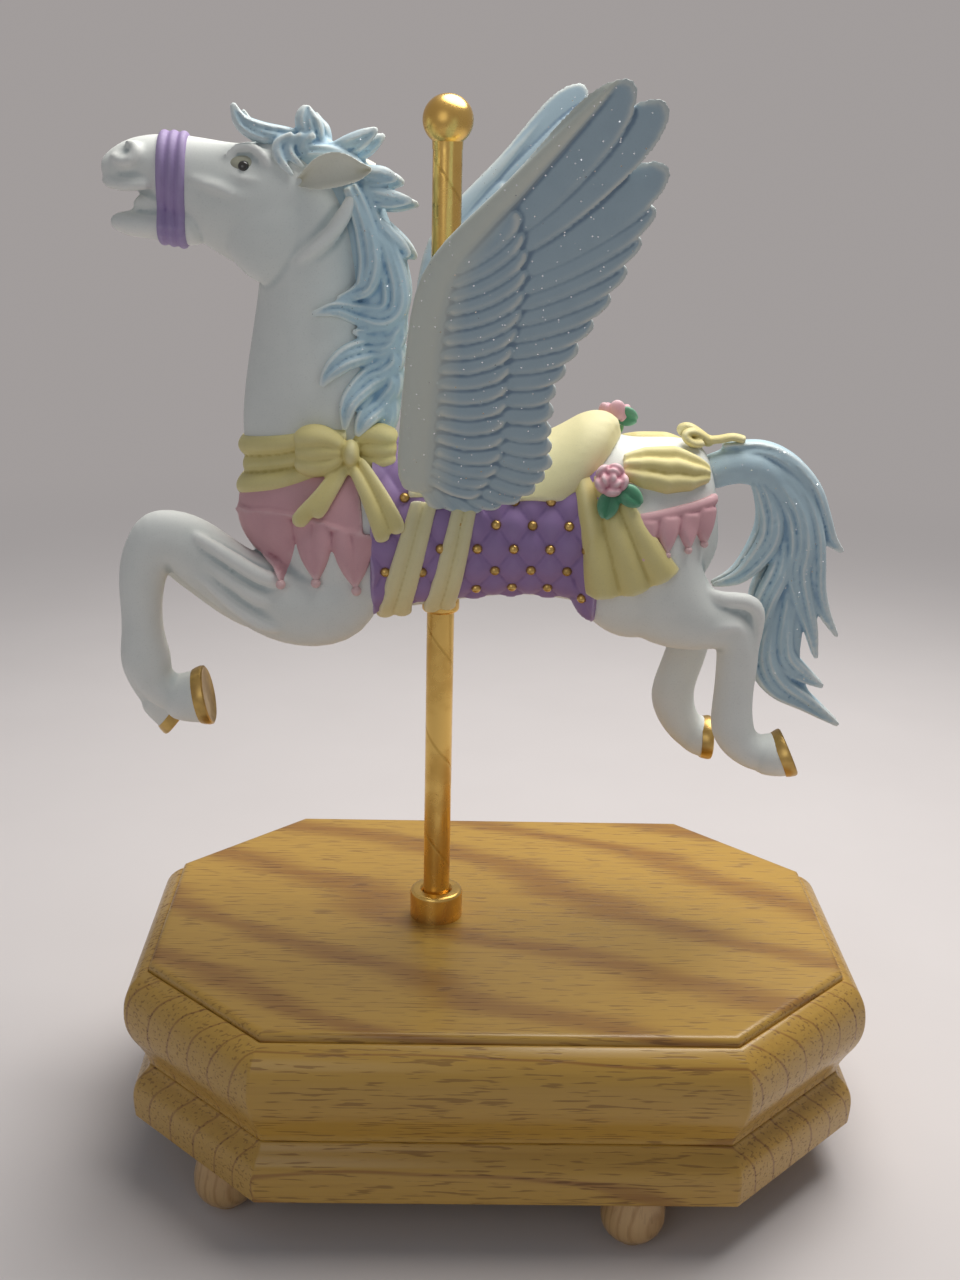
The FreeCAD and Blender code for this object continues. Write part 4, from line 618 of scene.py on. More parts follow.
def ridge(points, side=1, shift=(0, 0)):
    """A tendon, a muscle or a bone that shows under the skin. A point is its place and the ridge's half
    width, and the shift moves it along X and Z."""
    line = flowing([(x + shift[0], side * y, z + shift[1], wide) for x, y, z, wide in points], 3)
    drawn(horse, [(station.xyz, station.w, station.w) for station in line], sides=8)


for form in (SKULL, CHIN, MOUTH):
    drawn(horse, midline(form))
for leg, hoof, y, shift in LEGS:
    drawn(horse, midline(leg, y, shift, ELBOW))
    drawn(horse, midline(hoof, y, shift, 0), sides=20)
for side in (-1, 1):
    for start, swell, neck, end in FOREARM:
        ridge([(-43, 12.6, start, 1), (-52, 15.7, swell, 1.9), (-60.5, 15.4, neck, 1.9),
               (-69, 14.2, end, 1.1)], side, FAR_FORE_SHIFT if side > 0 else (0, 0))
    lump(horse, (-50.8, side * 4.8, 215.6), (10.6, 3.6, 11))
    for bone in FACE_BONES:
        ridge(bone, side)
for tendon in HOCKS:
    ridge(tendon)
run_together(horse, SKIN_VOXEL, 4)
skin = BVHTree.FromBMesh(horse)
made = piece("porcelain_horse", horse, bisque, "rider", "porcelain", "horse_torso", "horse_neck",
             "horse_head", "left_foreleg", "right_foreleg", "left_hind_leg", "right_hind_leg")
mark_hollows(made, 16, 0.55)

# Face and hooves. The eyes are black enamel, each in an olive patch that is painted shade in the socket under
# the brow, the ears are cupped leaves whose olive inside is a wash and painted shade together, and the soles
# carry a rim of gold lustre painted on after the firing.
EYE = (-56.9, 229.4)
EAR = [
    (-45.8, 6.4, 226.4, 0.9), (-42.4, 8.3, 228.0, 3.0), (-38.8, 9.4, 229.0, 3.7),
    (-35.4, 10.0, 229.3, 3.2), (-32.4, 10.3, 229.1, 1.9), (-30.0, 10.4, 229.4, 0.4)]
SOLE_RIM = [(-2.2, 0.88), (-2.1, 0.97), (-1.3, 1.02), (-0.2, 1.06), (0.4, 1.05), (0.65, 0.99)]
gold_lustre = metal("gold_lustre", (0.62, 0.42, 0.14), (0.40, 0.26, 0.09), 0.3)
eye_enamel, tree, bsdf, place = shader("eye_enamel")
depth = noise(tree, place, 0.9)[0]
feed(tree, bsdf, {"Base Color": mixed(tree, depth, (0.012, 0.010, 0.010), (0.03, 0.025, 0.022)),
                  "Roughness": 0.12, "Coat Weight": 0.6})
# olive painted shade for the eye sockets under the brow
socket_shade_olive = painted("socket_shade_olive", (0.42, 0.41, 0.32), (0.22, 0.22, 0.18), (0.62, 0.62, 0.55))
# the ear's olive wash is paint and painted shade in its cup together
ear_white = painted("ear_white", (0.74, 0.72, 0.62), (0.40, 0.36, 0.21), (0.80, 0.80, 0.75))


def cast(name, bm, material, slot, *nodes, voxel=0.38, passes=2, rounding=0, reach=10, depth=0.45):
    """Runs forms together into one piece of the horse, and marks its hollows for the paint and its painted
    shade.
    """
    run_together(bm, voxel, passes, rounding)
    return mark_hollows(piece(name, bm, material, "rider", slot, *nodes), reach, depth)


def beside(x, z, rise, side=-1):
    """The spot on the horse beside (x, z), from the near side (-1) or the off side (1), or None."""
    spot, normal, *rest = skin.ray_cast(Vector((x, side * 90, z)), Vector((0, -side, 0)))
    return spot + normal * rise if spot else None


def spaced(line, share):
    """The point at a share of the way along a line."""
    place = share * (len(line) - 1)
    first = min(int(place), len(line) - 2)
    return Vector(line[first]).lerp(Vector(line[first + 1]), place - first)


def layer(bm, wide, deep, spot):
    """A layer laid on the cast: a grid that is put where spot(u, v) gives its outer and inner points."""
    grid = bmesh.ops.create_grid(bm, x_segments=wide, y_segments=deep, size=0.5)["verts"]
    inner = {}
    for vert in grid:
        vert.co, inner[vert] = spot(vert.co.x + 0.5, vert.co.y + 0.5)
    faces = list({face for vert in grid for face in vert.link_faces})
    lookup = {tuple(vert.co): inner[vert] for vert in grid}
    for vert in bmesh.ops.extrude_face_region(bm, geom=faces, use_keep_orig=True)["geom"]:
        if isinstance(vert, bmesh.types.BMVert):
            vert.co = lookup[tuple(vert.co)]


eyes, eye_shade_lumps, ears = bmesh.new(), bmesh.new(), bmesh.new()
ear_line = flowing(EAR, 5)
for side in (-1, 1):
    # an olive lump at each eye: painted shade in the socket under the brow
    lump(eye_shade_lumps, beside(EYE[0] + 0.1, EYE[1] + 0.6, -0.5, side), (3.1, 0.85, 1.8), (25 * side, 4, 0))
    lump(eyes, beside(*EYE, -0.05, side), (1.2, 0.8, 1.15), (25 * side, 0, 0))

    def ear_spot(u, v, side=side):
        x, y, z, deep = spaced(ear_line, u)
        across = 2 * v - 1
        out = y + 1.7 * across ** 2 - 0.6
        outer = Vector((x, side * out, z + deep * across))
        return outer, Vector((x, side * (out - 1.3), z + 0.94 * deep * across))

    layer(ears, 28, 16, ear_spot)
piece("eye_shade_patches", eye_shade_lumps, socket_shade_olive, "rider", "porcelain")
piece("enamel_eyes", eyes, eye_enamel, "rider", "porcelain")
cast("leaf_ears", ears, ear_white, "porcelain", "ears", voxel=0.26, reach=14)

soles = bmesh.new()
for leg, hoof, y, shift in LEGS:
    stations = midline(hoof, y, shift, 0)
    toe, deep, wide = Vector(stations[-1][0]), stations[-1][1], stations[-1][2]
    heading = (toe - Vector(stations[-2][0])).normalized()
    rim = [(toe + heading * along, deep * share, wide * share) for along, share in SOLE_RIM]
    under = drawn(soles, rim, sides=28)
    bmesh.ops.recalc_face_normals(soles, faces=soles.faces)
    bmesh.ops.inset_individual(soles, faces=under, thickness=1.4, depth=-0.4)
piece("gold_soles", soles, gold_lustre, "rider", "porcelain")

# Mane and tail. Locks of hair are modelled in the mould, each of a few strands that part and come together
# again. A thin blue wash lies in the partings and is painted shade there as well, the crests stay nearly
# white with a painted highlight, and fine glitter is dusted on.
HAIR_RISE = 0.8
TIP_THICK, TAIL_THICK = 2.2, 2.3
# the deeper blue in the partings is painted shade as well as paint, and the pale crests a painted highlight
hair_blue = painted("hair_blue", (0.47, 0.61, 0.68), (0.24, 0.38, 0.52), (0.74, 0.79, 0.78), 0.55, 0.03)


def lock(bm, points, wide, thick, strands=4, side=(0, 1, 0)):
    """A lock of strands side by side. It swells from its root and rounds off to its tip."""
    line = flowing(points)
    last = len(line) - 1
    for strand in range(strands):
        offset = (2 * strand + 1 - strands) / strands
        stations = []
        for count, middle in enumerate(line):
            share = count / last
            full = max(0.14, (0.62 + 0.38 * sin(pi * share)) * sqrt(1 - share ** 4))
            along = (line[min(count + 1, last)] - line[max(count - 1, 0)]).normalized()
            across = Vector(side).cross(along).normalized()
            sway = 0.82 * offset + 0.1 * sin(5 * share + 1.7 * strand)
            spot = middle + across * wide * sway * full
            spot += Vector(side) * (0.14 * thick * sin(4 * share + 2.1 * strand))
            stations.append((spot, max(0.3, 0.3 * wide * full), max(0.3, thick * full)))
        drawn(bm, stations, side, sides=10)


def hair_line(points, side, loose):
    """Lays a lock's points on the cast, and lets those that miss it hang free at a distance to the side."""
    laid = []
    for x, z in points:
        spot = beside(x, z, HAIR_RISE, side)
        laid.append(Vector((x, spot.y if spot and abs(spot.y) > loose else side * loose, z)))
    return laid


MANE = [
    (2.6, 2.2, 4.5, [(-44, 232.5), (-38.5, 232), (-34, 229.5), (-31, 224.5), (-31.8, 219)]),
    (3.0, 2.1, 6.5, [(-35, 226), (-33, 221.9), (-31.1, 216.5), (-30.2, 210.6), (-31.1, 206),
     (-33.4, 204.1), (-37.6, 202.8)]),
    (3.6, 2.4, 5.5, [(-33, 226), (-30.5, 219), (-27.4, 213.9), (-25, 206.4), (-25, 201), (-28, 198.6),
     (-33, 199.4), (-37.7, 200.8), (-42.9, 199.6)]),
    (3.0, 2.2, 5.0, [(-26.5, 206), (-24.8, 200), (-25.6, 196.2), (-28.4, 194.6), (-34.4, 196)]),
    (3.4, 2.3, 5.0, [(-26, 200), (-24.8, 195), (-27, 192.2), (-30.6, 191.6), (-35.2, 190.4),
     (-38.8, 187.7), (-41, 184.4)]),
    (3.4, 2.3, 5.0, [(-26, 194), (-25.2, 189.6), (-27.8, 186.8), (-30.8, 185.2), (-35, 180.8),
     (-36, 174.8)]),
    (3.4, 2.3, 5.0, [(-26.5, 189), (-25.6, 184.4), (-28.4, 180.2), (-31.4, 177.4), (-33.4, 173.4)]),
    (3.2, 2.2, 5.0, [(-27, 184), (-26.4, 178.4), (-28.4, 173.6), (-30.6, 169)]),
    (1.3, 1.1, 5.4, [(-46.5, 236), (-49.6, 234), (-49.4, 231), (-46.4, 227.6)]),
    (1.3, 1.1, 5.0, [(-44.5, 236), (-47.2, 234), (-47, 231.6), (-44.2, 229.2)]),
    (1.3, 1.1, 4.8, [(-42, 236), (-44.4, 234.4), (-44, 232.6), (-41, 231.4)])]
TIPS = [
    (2.5, [(-41, 1, 233.4), (-47, 2, 235), (-53.2, 2.8, 235.8), (-57.4, 3.2, 238), (-59.3, 3.2, 242)]),
    (3.2, [(-41.6, 1.5, 231.5), (-43, 2.5, 236), (-44, 2.8, 239), (-43.9, 2.8, 241.8)]),
    (2.5, [(-40, 2, 232), (-36, 3, 233.8), (-32.6, 3.4, 235.2), (-29, 3.6, 237.4)]),
    (2.5, [(-37, 4, 228.5), (-31.5, 4.8, 228.2), (-28, 5, 228), (-24.8, 5, 227.4)]),
    (2.5, [(-36, 4, 226), (-31, 4.8, 224.4), (-26.5, 5, 223.4), (-21.6, 5, 223)]),
    (2.8, [(-33, 4, 222), (-29, 5, 217.6), (-25.4, 5, 214.2), (-22, 5, 211.6)])]
MANE_CORE = [
    (-52, 233.2, 2.2, 3.6), (-46, 232.8, 4, 5.2), (-39.5, 231.2, 5, 6), (-33, 222.5, 5.6, 6.4),
    (-30, 210, 5.8, 6.6), (-28.8, 197, 5.4, 6.8), (-28.2, 184, 5.2, 6.8), (-28.6, 172, 4.0, 5.6)]
mane = bmesh.new()
for side in (-1, 1):
    for wide, thick, loose, points in MANE:
        lock(mane, hair_line(points, side, loose), wide, thick)
    for wide, points in TIPS:
        apart = side + 1
        lock(mane, [(x + 0.6 * apart, side * y, z - 0.7 * apart) for x, y, z in points], wide, TIP_THICK)
drawn(mane, midline(MANE_CORE))
cast("painted_mane", mane, hair_blue, "blue_hair", "mane", rounding=1, reach=12, depth=0.42)

TAIL = [
    (3.0, 2.5, [(48, 170.2), (57, 170.4), (63.6, 167.4), (68.5, 162), (71.4, 155.5), (73.9, 150.4),
     (77.4, 147)]),
    (3.1, 3.6, [(48, 168.4), (56.8, 168.4), (62.9, 164.8), (67.3, 159), (69.8, 151.7), (70.8, 145.3),
     (71.8, 138.7), (74.2, 132.6), (78, 126.6)]),
    (3.3, 4.6, [(48, 167), (56.4, 167), (61.7, 163), (65.8, 156.7), (67.2, 149.8), (66.9, 142.8),
     (68.9, 135.8), (71.4, 128.7), (73.4, 121.2)]),
    (3.2, 4.0, [(65.4, 142), (65.2, 136.7), (64.5, 128.6), (65.5, 122.3), (70, 118), (75.8, 114.2)]),
    (3.9, 4.2, [(63.8, 142), (63, 135.7), (60.8, 128.5), (60.8, 121.3), (64.7, 115.2), (71.5, 110.7),
     (80.4, 104.6)]),
    (3.0, 4.0, [(48, 165.6), (55.7, 165.2), (59.6, 158), (60.2, 151.6), (57.7, 146), (53.5, 141.2),
     (47.6, 138.8)]),
    (3.0, 4.8, [(63.2, 156), (63.4, 147.9), (62.5, 142.3), (60, 135.7), (59.2, 128), (61, 121)])]
TAIL_CORE = [
    (43, 163.5, 4.0, 4.4), (49, 166.8, 4.4, 4.8), (56, 167.2, 4.6, 4.8), (61.8, 163.2, 4.8, 4.8),
    (65.6, 155, 5.0, 4.6), (66.4, 146, 4.8, 4.4), (66, 136.5, 4.8, 4.0), (65.4, 127, 4.4, 3.6),
    (66.4, 118.5, 3.4, 2.8), (70.5, 112, 2.0, 1.8), (76, 107.6, 0.9, 0.9)]
tail = bmesh.new()
for wide, out, points in TAIL:
    for side in (-1, 1):
        run = len(points) - 1
        lay = [(x, side * out * min(1.0, 0.2 + 1.6 * count / run) * (1 - 0.75 * (count / run) ** 2), z)
               for count, (x, z) in enumerate(points)]
        lock(tail, lay, wide, TAIL_THICK)
drawn(tail, midline(TAIL_CORE))
cast("painted_tail", tail, hair_blue, "blue_hair", "tail", rounding=1, reach=12, depth=0.42)

# Nose band. A strap in three soft folds goes round the muzzle. It is modelled in the mould and painted a
# greyed purple, darker in the folds by painted shade.
STRAP_FRONT, STRAP_WIDTH, MUZZLE = -75.4, 6.1, 225
# the darker wash in the folds is painted shade, and the lighter rub on the rolls a painted highlight
lavender = painted("lavender_paint", (0.37, 0.28, 0.50), (0.20, 0.12, 0.32), (0.52, 0.43, 0.63), 0.55)


def girth(form, x, turn, height, *rises):
    """The spots at some rises over the body or the head, at one x and about one height. The turn is 0 at the
    top and grows towards the near side."""
    way = Vector((0, -sin(turn), cos(turn)))
    spot, normal, *rest = form.ray_cast(Vector((x, 0, height)) + way * 60, -way)
    return [spot + normal * rise for rise in rises]


def folds(share, count):
    """Rolls side by side: 1 on each crest and 0 in the crease between two."""
    return abs(sin(pi * count * share)) ** 0.7


def band_spot(u, v):
    turn = FULL_TURN * v
    x = STRAP_FRONT + STRAP_WIDTH * u + 0.35 * cos(turn)
    return girth(skin, x, turn, MUZZLE, 0.3 + 0.75 * folds(u, 3), -0.8)


band = bmesh.new()
layer(band, 16, 60, band_spot)
cast("nose_strap", band, lavender, "purple_paint", "nose_band", voxel=0.3, passes=3, depth=0.5)

# Saddle cloth, girths and saddle. A quilted purple cloth with gold studs lies on the barrel, two cream
# girths hold it, and a cream saddle with a high cantle sits on top. All are cast in one with the horse.
BARREL = 152.0
QUILT_X, QUILT_TURN = 8.0, radians(38)
QUILT_START = (5.3, radians(76))
CLOTH_FRONT, CLOTH_BACK, CLOTH_TURN = -30.0, 20.0, radians(148)
STUD = 1.15
SADDLE_FRONT, SADDLE_BACK, SADDLE_TURN = -22, 25.2, radians(57)
SADDLE_RISES = ((-22, -8, 4, 11, 18, 22, 25.2), (0.4, 0.8, 2.0, 3.4, 4.9, 5.4, 5.0))
# each paint's darker wash is painted shade in the quilting and folds, and its lighter rub a painted highlight
# on the puffs
purple = painted("purple_paint", (0.31, 0.20, 0.41), (0.15, 0.08, 0.24), (0.43, 0.32, 0.52), 0.55)
cream = painted("cream_paint", (0.76, 0.69, 0.40), (0.54, 0.45, 0.19), (0.82, 0.77, 0.56), 0.6)


def on_barrel(x, turn, *rises):
    return girth(trunk_skin, x, turn, BARREL, *rises)


def quilt(x, turn):
    """How far the quilting puffs up: 0 along the stitching and at the studs, 1 in the middle of a diamond."""
    along, round_it = (x - QUILT_START[0]) / QUILT_X, (turn - QUILT_START[1]) / QUILT_TURN
    return abs(sin(pi * (along + round_it)) * sin(pi * (along - round_it))) ** 0.6


def cloth_spot(u, v):
    x = CLOTH_FRONT + (CLOTH_BACK - CLOTH_FRONT) * u
    turn = CLOTH_TURN * (2 * v - 1)
    return on_barrel(x, turn, 0.5 + quilt(x, abs(turn)), -1.0)


cloth = bmesh.new()
layer(cloth, 96, 190, cloth_spot)
cast("quilted_cloth", cloth, purple, "purple_paint", "saddle_blanket", voxel=0.42, passes=1)

studs = bmesh.new()
for row in range(-8, 9):
    for column in range(-8, 4):
        x, turn = QUILT_START[0] + column * QUILT_X / 2, QUILT_START[1] + row * QUILT_TURN / 2
        inside = CLOTH_FRONT + 1 < x < CLOTH_BACK - 1 and radians(50) < turn < CLOTH_TURN - 0.1
        if inside and (row + column) % 2 == 0:
            for side in (-1, 1):
                lump(studs, on_barrel(x, -side * turn, 0.75)[0], (STUD, STUD, STUD), fine=2)
piece("gold_studs", studs, gold_lustre, "rider", "purple_paint")

straps = bmesh.new()
for top, foot, wide in ((-18.4, -25.2, 6.8), (-9.4, -14.8, 6.2)):
    def strap_spot(u, v, top=top, foot=foot, wide=wide):
        turn = radians(60) + radians(240) * v
        down = min(1.0, (1 - abs(2 * v - 1)) * 240 / 2 / 90)
        x = top + (foot - top) * down + wide * (u - 0.5) * (0.85 + 0.3 * down)
        return on_barrel(x, turn, 1.5 + 0.75 * folds(u, 2), -0.5)
    layer(straps, 18, 110, strap_spot)
cast("girth_straps", straps, cream, "yellow_paint", voxel=0.36)


def saddle_spot(u, v):
    across = 2 * v - 1
    turn = SADDLE_TURN * across
    end = SADDLE_BACK - 12.8 * abs(across) ** 1.7
    x = SADDLE_FRONT + (end - SADDLE_FRONT) * u
    lift = float(numpy.interp(x, *SADDLE_RISES))
    back = sqrt(1 - max(0.0, (u - 0.8) / 0.2) ** 3)
    return on_barrel(x, turn, 0.5 + (1.2 + lift * max(0.0, cos(turn * 1.4))) * back, 0.0)


seat = bmesh.new()
layer(seat, 60, 60, saddle_spot)
cast("cream_saddle", seat, cream, "yellow_paint", "saddle", voxel=0.45, passes=6, reach=12, depth=0.6)

# Chest ribbon, bow and valance. A yellow ribbon in three rolls goes round the chest and ends in a puffed
# bow on the near side. Under it hangs a pink valance of pointed tabs, each with a bead at its tip.
CHEST_X = -38.0
LEVEL_TURNS = (0, 40, 68, 100)
RIBBON_FOOT, RIBBON_TOP = (158.2, 161.5, 164.4, 165.4), (171.6, 173.6, 175.2, 175.0)
VALANCE_FOOT, VALANCE_TOP = (154.6, 156.8, 155.8, 153.0), (159.5, 163.4, 165.8, 165.8)
TAB_TOP = (155.0, 157.2, 156.2, 153.4)
TABS = [(31.5, 25.5, 46, 142.6), (73.0, 16.0, 78, 142.7), (104.0, 15.0, 106, 141.2)]
BEAD = 1.1
BOW_HEIGHT = 170.6
BOW_SWELL = [(0, 0.55), (2.2, 0.75), (4.6, 1.0), (7.2, 1.08), (9.4, 0.86), (10.6, 0.45)]
BOW_ENDS = [
    [(-35.6, 167.5, 1.8), (-38.2, 163.2, 2.3), (-41.2, 159.4, 3.0), (-44.2, 155.6, 3.9)],
    [(-34.0, 167.6, 1.8), (-31.2, 164.0, 2.2), (-28.9, 160.6, 2.6), (-26.2, 155.6, 3.2), (-25.2, 152.8, 3.3)]]
# each paint's darker wash is painted shade in the creases between rolls and tabs, and its lighter rub a
# painted highlight on the crests
yellow = painted("yellow_paint", (0.72, 0.62, 0.27), (0.47, 0.36, 0.09), (0.80, 0.73, 0.44), 0.55)
pink = painted("pink_paint", (0.66, 0.37, 0.40), (0.40, 0.15, 0.19), (0.73, 0.50, 0.51), 0.55)
pearl_pink = painted("pearl_pink", (0.74, 0.50, 0.50), (0.55, 0.32, 0.33), (0.80, 0.62, 0.61), 0.4)


def chest(turn, z, *rises):
    """The spots at some rises round the chest. The turn, in degrees, is 0 in front and grows towards the near
    side."""
    way = Vector((-cos(radians(turn)), -sin(radians(turn)), 0))
    spot, normal, *rest = trunk_skin.ray_cast(Vector((CHEST_X, 0, z)) + way * 90, -way)
    return [spot + normal * rise for rise in rises]


def level(turn, levels):
    """A height that changes from the front of the chest to its flank."""
    return float(numpy.interp(abs(turn), LEVEL_TURNS, levels))


def between(turn, foot, top, share):
    low, high = level(turn, foot), level(turn, top)
    return low + (high - low) * share


def ribbon_spot(u, v):
    turn = -128 + 232 * v
    return chest(turn, between(turn, RIBBON_FOOT, RIBBON_TOP, u), 0.4 + 1.25 * folds(u, 3), -1.2)


ribbon = bmesh.new()
layer(ribbon, 24, 130, ribbon_spot)
cast("chest_band", ribbon, yellow, "yellow_paint", "chest_ribbon", voxel=0.4, depth=0.5)


def flank(x, z, side, *rises):
    """The spots at some rises on the flank beside (x, z), or the nearest where the body has rounded away."""
    spot, normal, *rest = trunk_skin.ray_cast(Vector((x, side * 90, z)), Vector((0, -side, 0)))
    if not spot:
        spot, normal, *rest = trunk_skin.find_nearest(Vector((x, side * 4, z)))
    return [spot + normal * rise for rise in rises]


def near_flank(x, z, rise):
    return flank(x, z, -1, rise)[0]


bow = bmesh.new()
for way, size, start in ((-1, 1.0, -36.0), (1, 0.93, -34.4)):
    middle = near_flank(start + way * 6 * size, 170.5, 1.2)
    for rise, lean, tall in ((2.1, 0.4, 2.9), (0.0, 0.02, 3.1), (-2.1, -0.38, 2.9)):
        stations = []
        for along, swell in BOW_SWELL:
            bend = rise * min(1.0, 0.35 + along / 5) + lean * (along - 0.1 * along ** 2)
            spot = (start + way * along * size, middle.y, BOW_HEIGHT + bend)
            stations.append((spot, tall * swell * size, 3.2 * swell + 0.6))
        drawn(bow, stations, sides=14)
lump(bow, near_flank(-35.2, 170.4, 2.6), (1.9, 3.4, 3.0))
for points in BOW_ENDS:
    for edge in (-0.5, 0.5):
        strip = [near_flank(x + edge * wide, z + 0.5 * edge * wide, 1.9) for x, z, wide in points]
        drawn(bow, [(spot, 0.62 * wide, 1.0) for spot, (x, z, wide) in zip(strip, points)], sides=10)
cast("chest_bow", bow, yellow, "yellow_paint", voxel=0.36, rounding=2, reach=12, depth=0.55)


def valance_spot(u, v):
    turn = -112 + 224 * v
    seam = 0.9 * exp(-((u - 0.05) / 0.07) ** 2)
    return chest(turn, between(turn, VALANCE_FOOT, VALANCE_TOP, u), 0.55 + seam, -1.2)


def over(spot, rise):
    """Moves a spot on the chest out to the leg that starts there, where the leg stands further out."""
    leg = beside(spot.x, spot.z, rise, 1 if spot.y > 0 else -1)
    return leg if leg and abs(spot.y) > 6 and abs(leg.y) > abs(spot.y) else spot


valance, beads = bmesh.new(), bmesh.new()
layer(valance, 20, 120, valance_spot)
for side in (-1, 1):
    for middle, half, end, tip in TABS:
        def tab_spot(u, v, middle=middle, half=half, end=end, tip=tip, side=side):
            across = 2 * u - 1
            turn = side * (middle + (end - middle) * v ** 1.5 + half * across * max(0.03, 1 - v ** 2.4))
            top = level(middle, TAB_TOP)
            rises = 1.1 * (1 - across ** 4) - 0.45 * exp(-(across / 0.16) ** 2) * (1 - v) + 0.4, -0.9
            return [over(spot, rise) for spot, rise in zip(chest(turn, top + (tip - top) * v, *rises), rises)]

        layer(valance, 24, 24, tab_spot)
        lump(beads, over(chest(side * end, tip - 0.2, 0.9)[0], 0.9), (BEAD, BEAD, BEAD))
cast("pink_valance", valance, pink, "yellow_paint")
piece("valance_beads", beads, pearl_pink, "rider", "yellow_paint")

# Croup dress. A yellow drape hangs from behind the saddle in three folds, a swag runs back to the tail and
# ends in a small bow, a pink fringe hangs under it, and a rose with two leaves covers the gathering.
DRAPE = [Vector(corner) for corner in ((13.6, 168.4), (25.8, 162.6), (18.0, 141.0), (37.4, 147.2))]
SWAG_LOW = ((0, 0.2, 0.5, 0.8, 1), (42, 48, 51, 46, 36))
SWAG_HIGH = ((0, 0.25, 0.6, 1), (26, 19, 16, 22))
TASSELS = (30.1, 34.8, 39.5, 43.4)
TASSEL_STEP = 0.6
TASSEL_BEAD = 0.9
TAIL_LOOP = [(44.8, 0.6, 172.4), (42.8, 1.8, 173.8), (40.6, 3, 174.8), (39, 4, 174), (40.4, 4.6, 172.6),
             (43, 3, 172.2)]
TAIL_END = [(44.4, -0.6, 172.4), (47.4, -1, 172.8), (50.2, -1.4, 173.4), (53, -1.8, 172.8)]
NEAR_LEAVES = [[(22.4, 162.8), (21.7, 160.4), (21.0, 157.4)], [(24.4, 163.6), (26.2, 162.2), (28.6, 160.2)]]
FAR_LEAVES = [
    [(24.6, 5.6, 176.8), (26.8, 5.2, 176.4), (29.4, 4.8, 175.6)],
    [(23.4, 9.4, 175.4), (24.6, 11, 173.2), (25.8, 12.4, 170.6)]]
# the darker wash of leaves and petals is painted shade between them, and the lighter rub a painted highlight
# on their crests
leaf_green = painted("leaf_green", (0.07, 0.26, 0.14), (0.02, 0.12, 0.07), (0.22, 0.44, 0.30), 0.45)
rose_pink = painted("rose_pink", (0.70, 0.38, 0.43), (0.48, 0.16, 0.22), (0.78, 0.58, 0.60), 0.45)

drape, fringe, fringe_beads = bmesh.new(), bmesh.new(), bmesh.new()
for side in (-1, 1):
    def drape_spot(u, v, side=side):
        top_front, top_back, foot_front, foot_back = DRAPE
        place = top_front.lerp(top_back, u).lerp(foot_front.lerp(foot_back, u), v)
        droop = 2.2 * sin(pi * u) * v
        fold = folds(u ** 1.1, 3) * (0.45 + 0.55 * v) + 0.45 * exp(-((u - 0.14) / 0.14) ** 2)
        return flank(place.x, place.y - droop, side, 0.8 + 1.8 * fold, -1.0)

    def swag_spot(u, v, side=side):
        low, high = (radians(numpy.interp(u, *turns)) for turns in (SWAG_LOW, SWAG_HIGH))
        puff = sin(pi * (0.16 + 0.72 * u)) ** 0.7
        rise = 0.5 + (1.5 * folds(v, 3) + 1.3 * sin(pi * v)) * puff
        return on_barrel(25 + 18.6 * u, -side * (high + (low - high) * v), rise, -1.0)

    def fringe_spot(u, v, side=side):
        rise = 0.9 + 0.5 * sin(pi * v)
        return flank(27.5 + 18.0 * u, 156.4 + 3.2 * u + 2.4 * v, side, rise, -1.0)

    layer(drape, 48, 40, drape_spot)
    layer(drape, 40, 40, swag_spot)
    layer(fringe, 40, 10, fringe_spot)
    for count, x in enumerate(TASSELS):
        def tassel_spot(u, v, x=x, side=side, count=count):
            across = 2 * u - 1
            spread = 2.45 * across * max(0.05, 1 - v ** 2.6)
            z = 157.2 + TASSEL_STEP * count - 7.2 * v
            return flank(x + spread - 0.4 * v, z, side, 0.5 + 1.1 * (1 - across ** 4), -0.9)

        layer(fringe, 12, 24, tassel_spot)
        bead = flank(x - 0.4, 149.8 + TASSEL_STEP * count, side, 0.8)[0]
        lump(fringe_beads, bead, (TASSEL_BEAD, TASSEL_BEAD, TASSEL_BEAD), fine=2)
cast("croup_drape", drape, yellow, "yellow_paint", "rump_drape", voxel=0.4, reach=12, depth=0.55)
cast("croup_fringe", fringe, pink, "yellow_paint", voxel=0.36, passes=1)
piece("fringe_beads", fringe_beads, pearl_pink, "rider", "yellow_paint")

tail_bow = bmesh.new()
for points in (*([(x, side * y, z) for x, y, z in TAIL_LOOP] for side in (-1, 1)), TAIL_END):
    drawn(tail_bow, [(spot, 1.0, 1.7) for spot in flowing(points, 4)], sides=10)
lump(tail_bow, (44.8, 0, 172.2), (1.4, 1.9, 1.4))
cast("tail_bow", tail_bow, yellow, "yellow_paint", voxel=0.34, rounding=1)

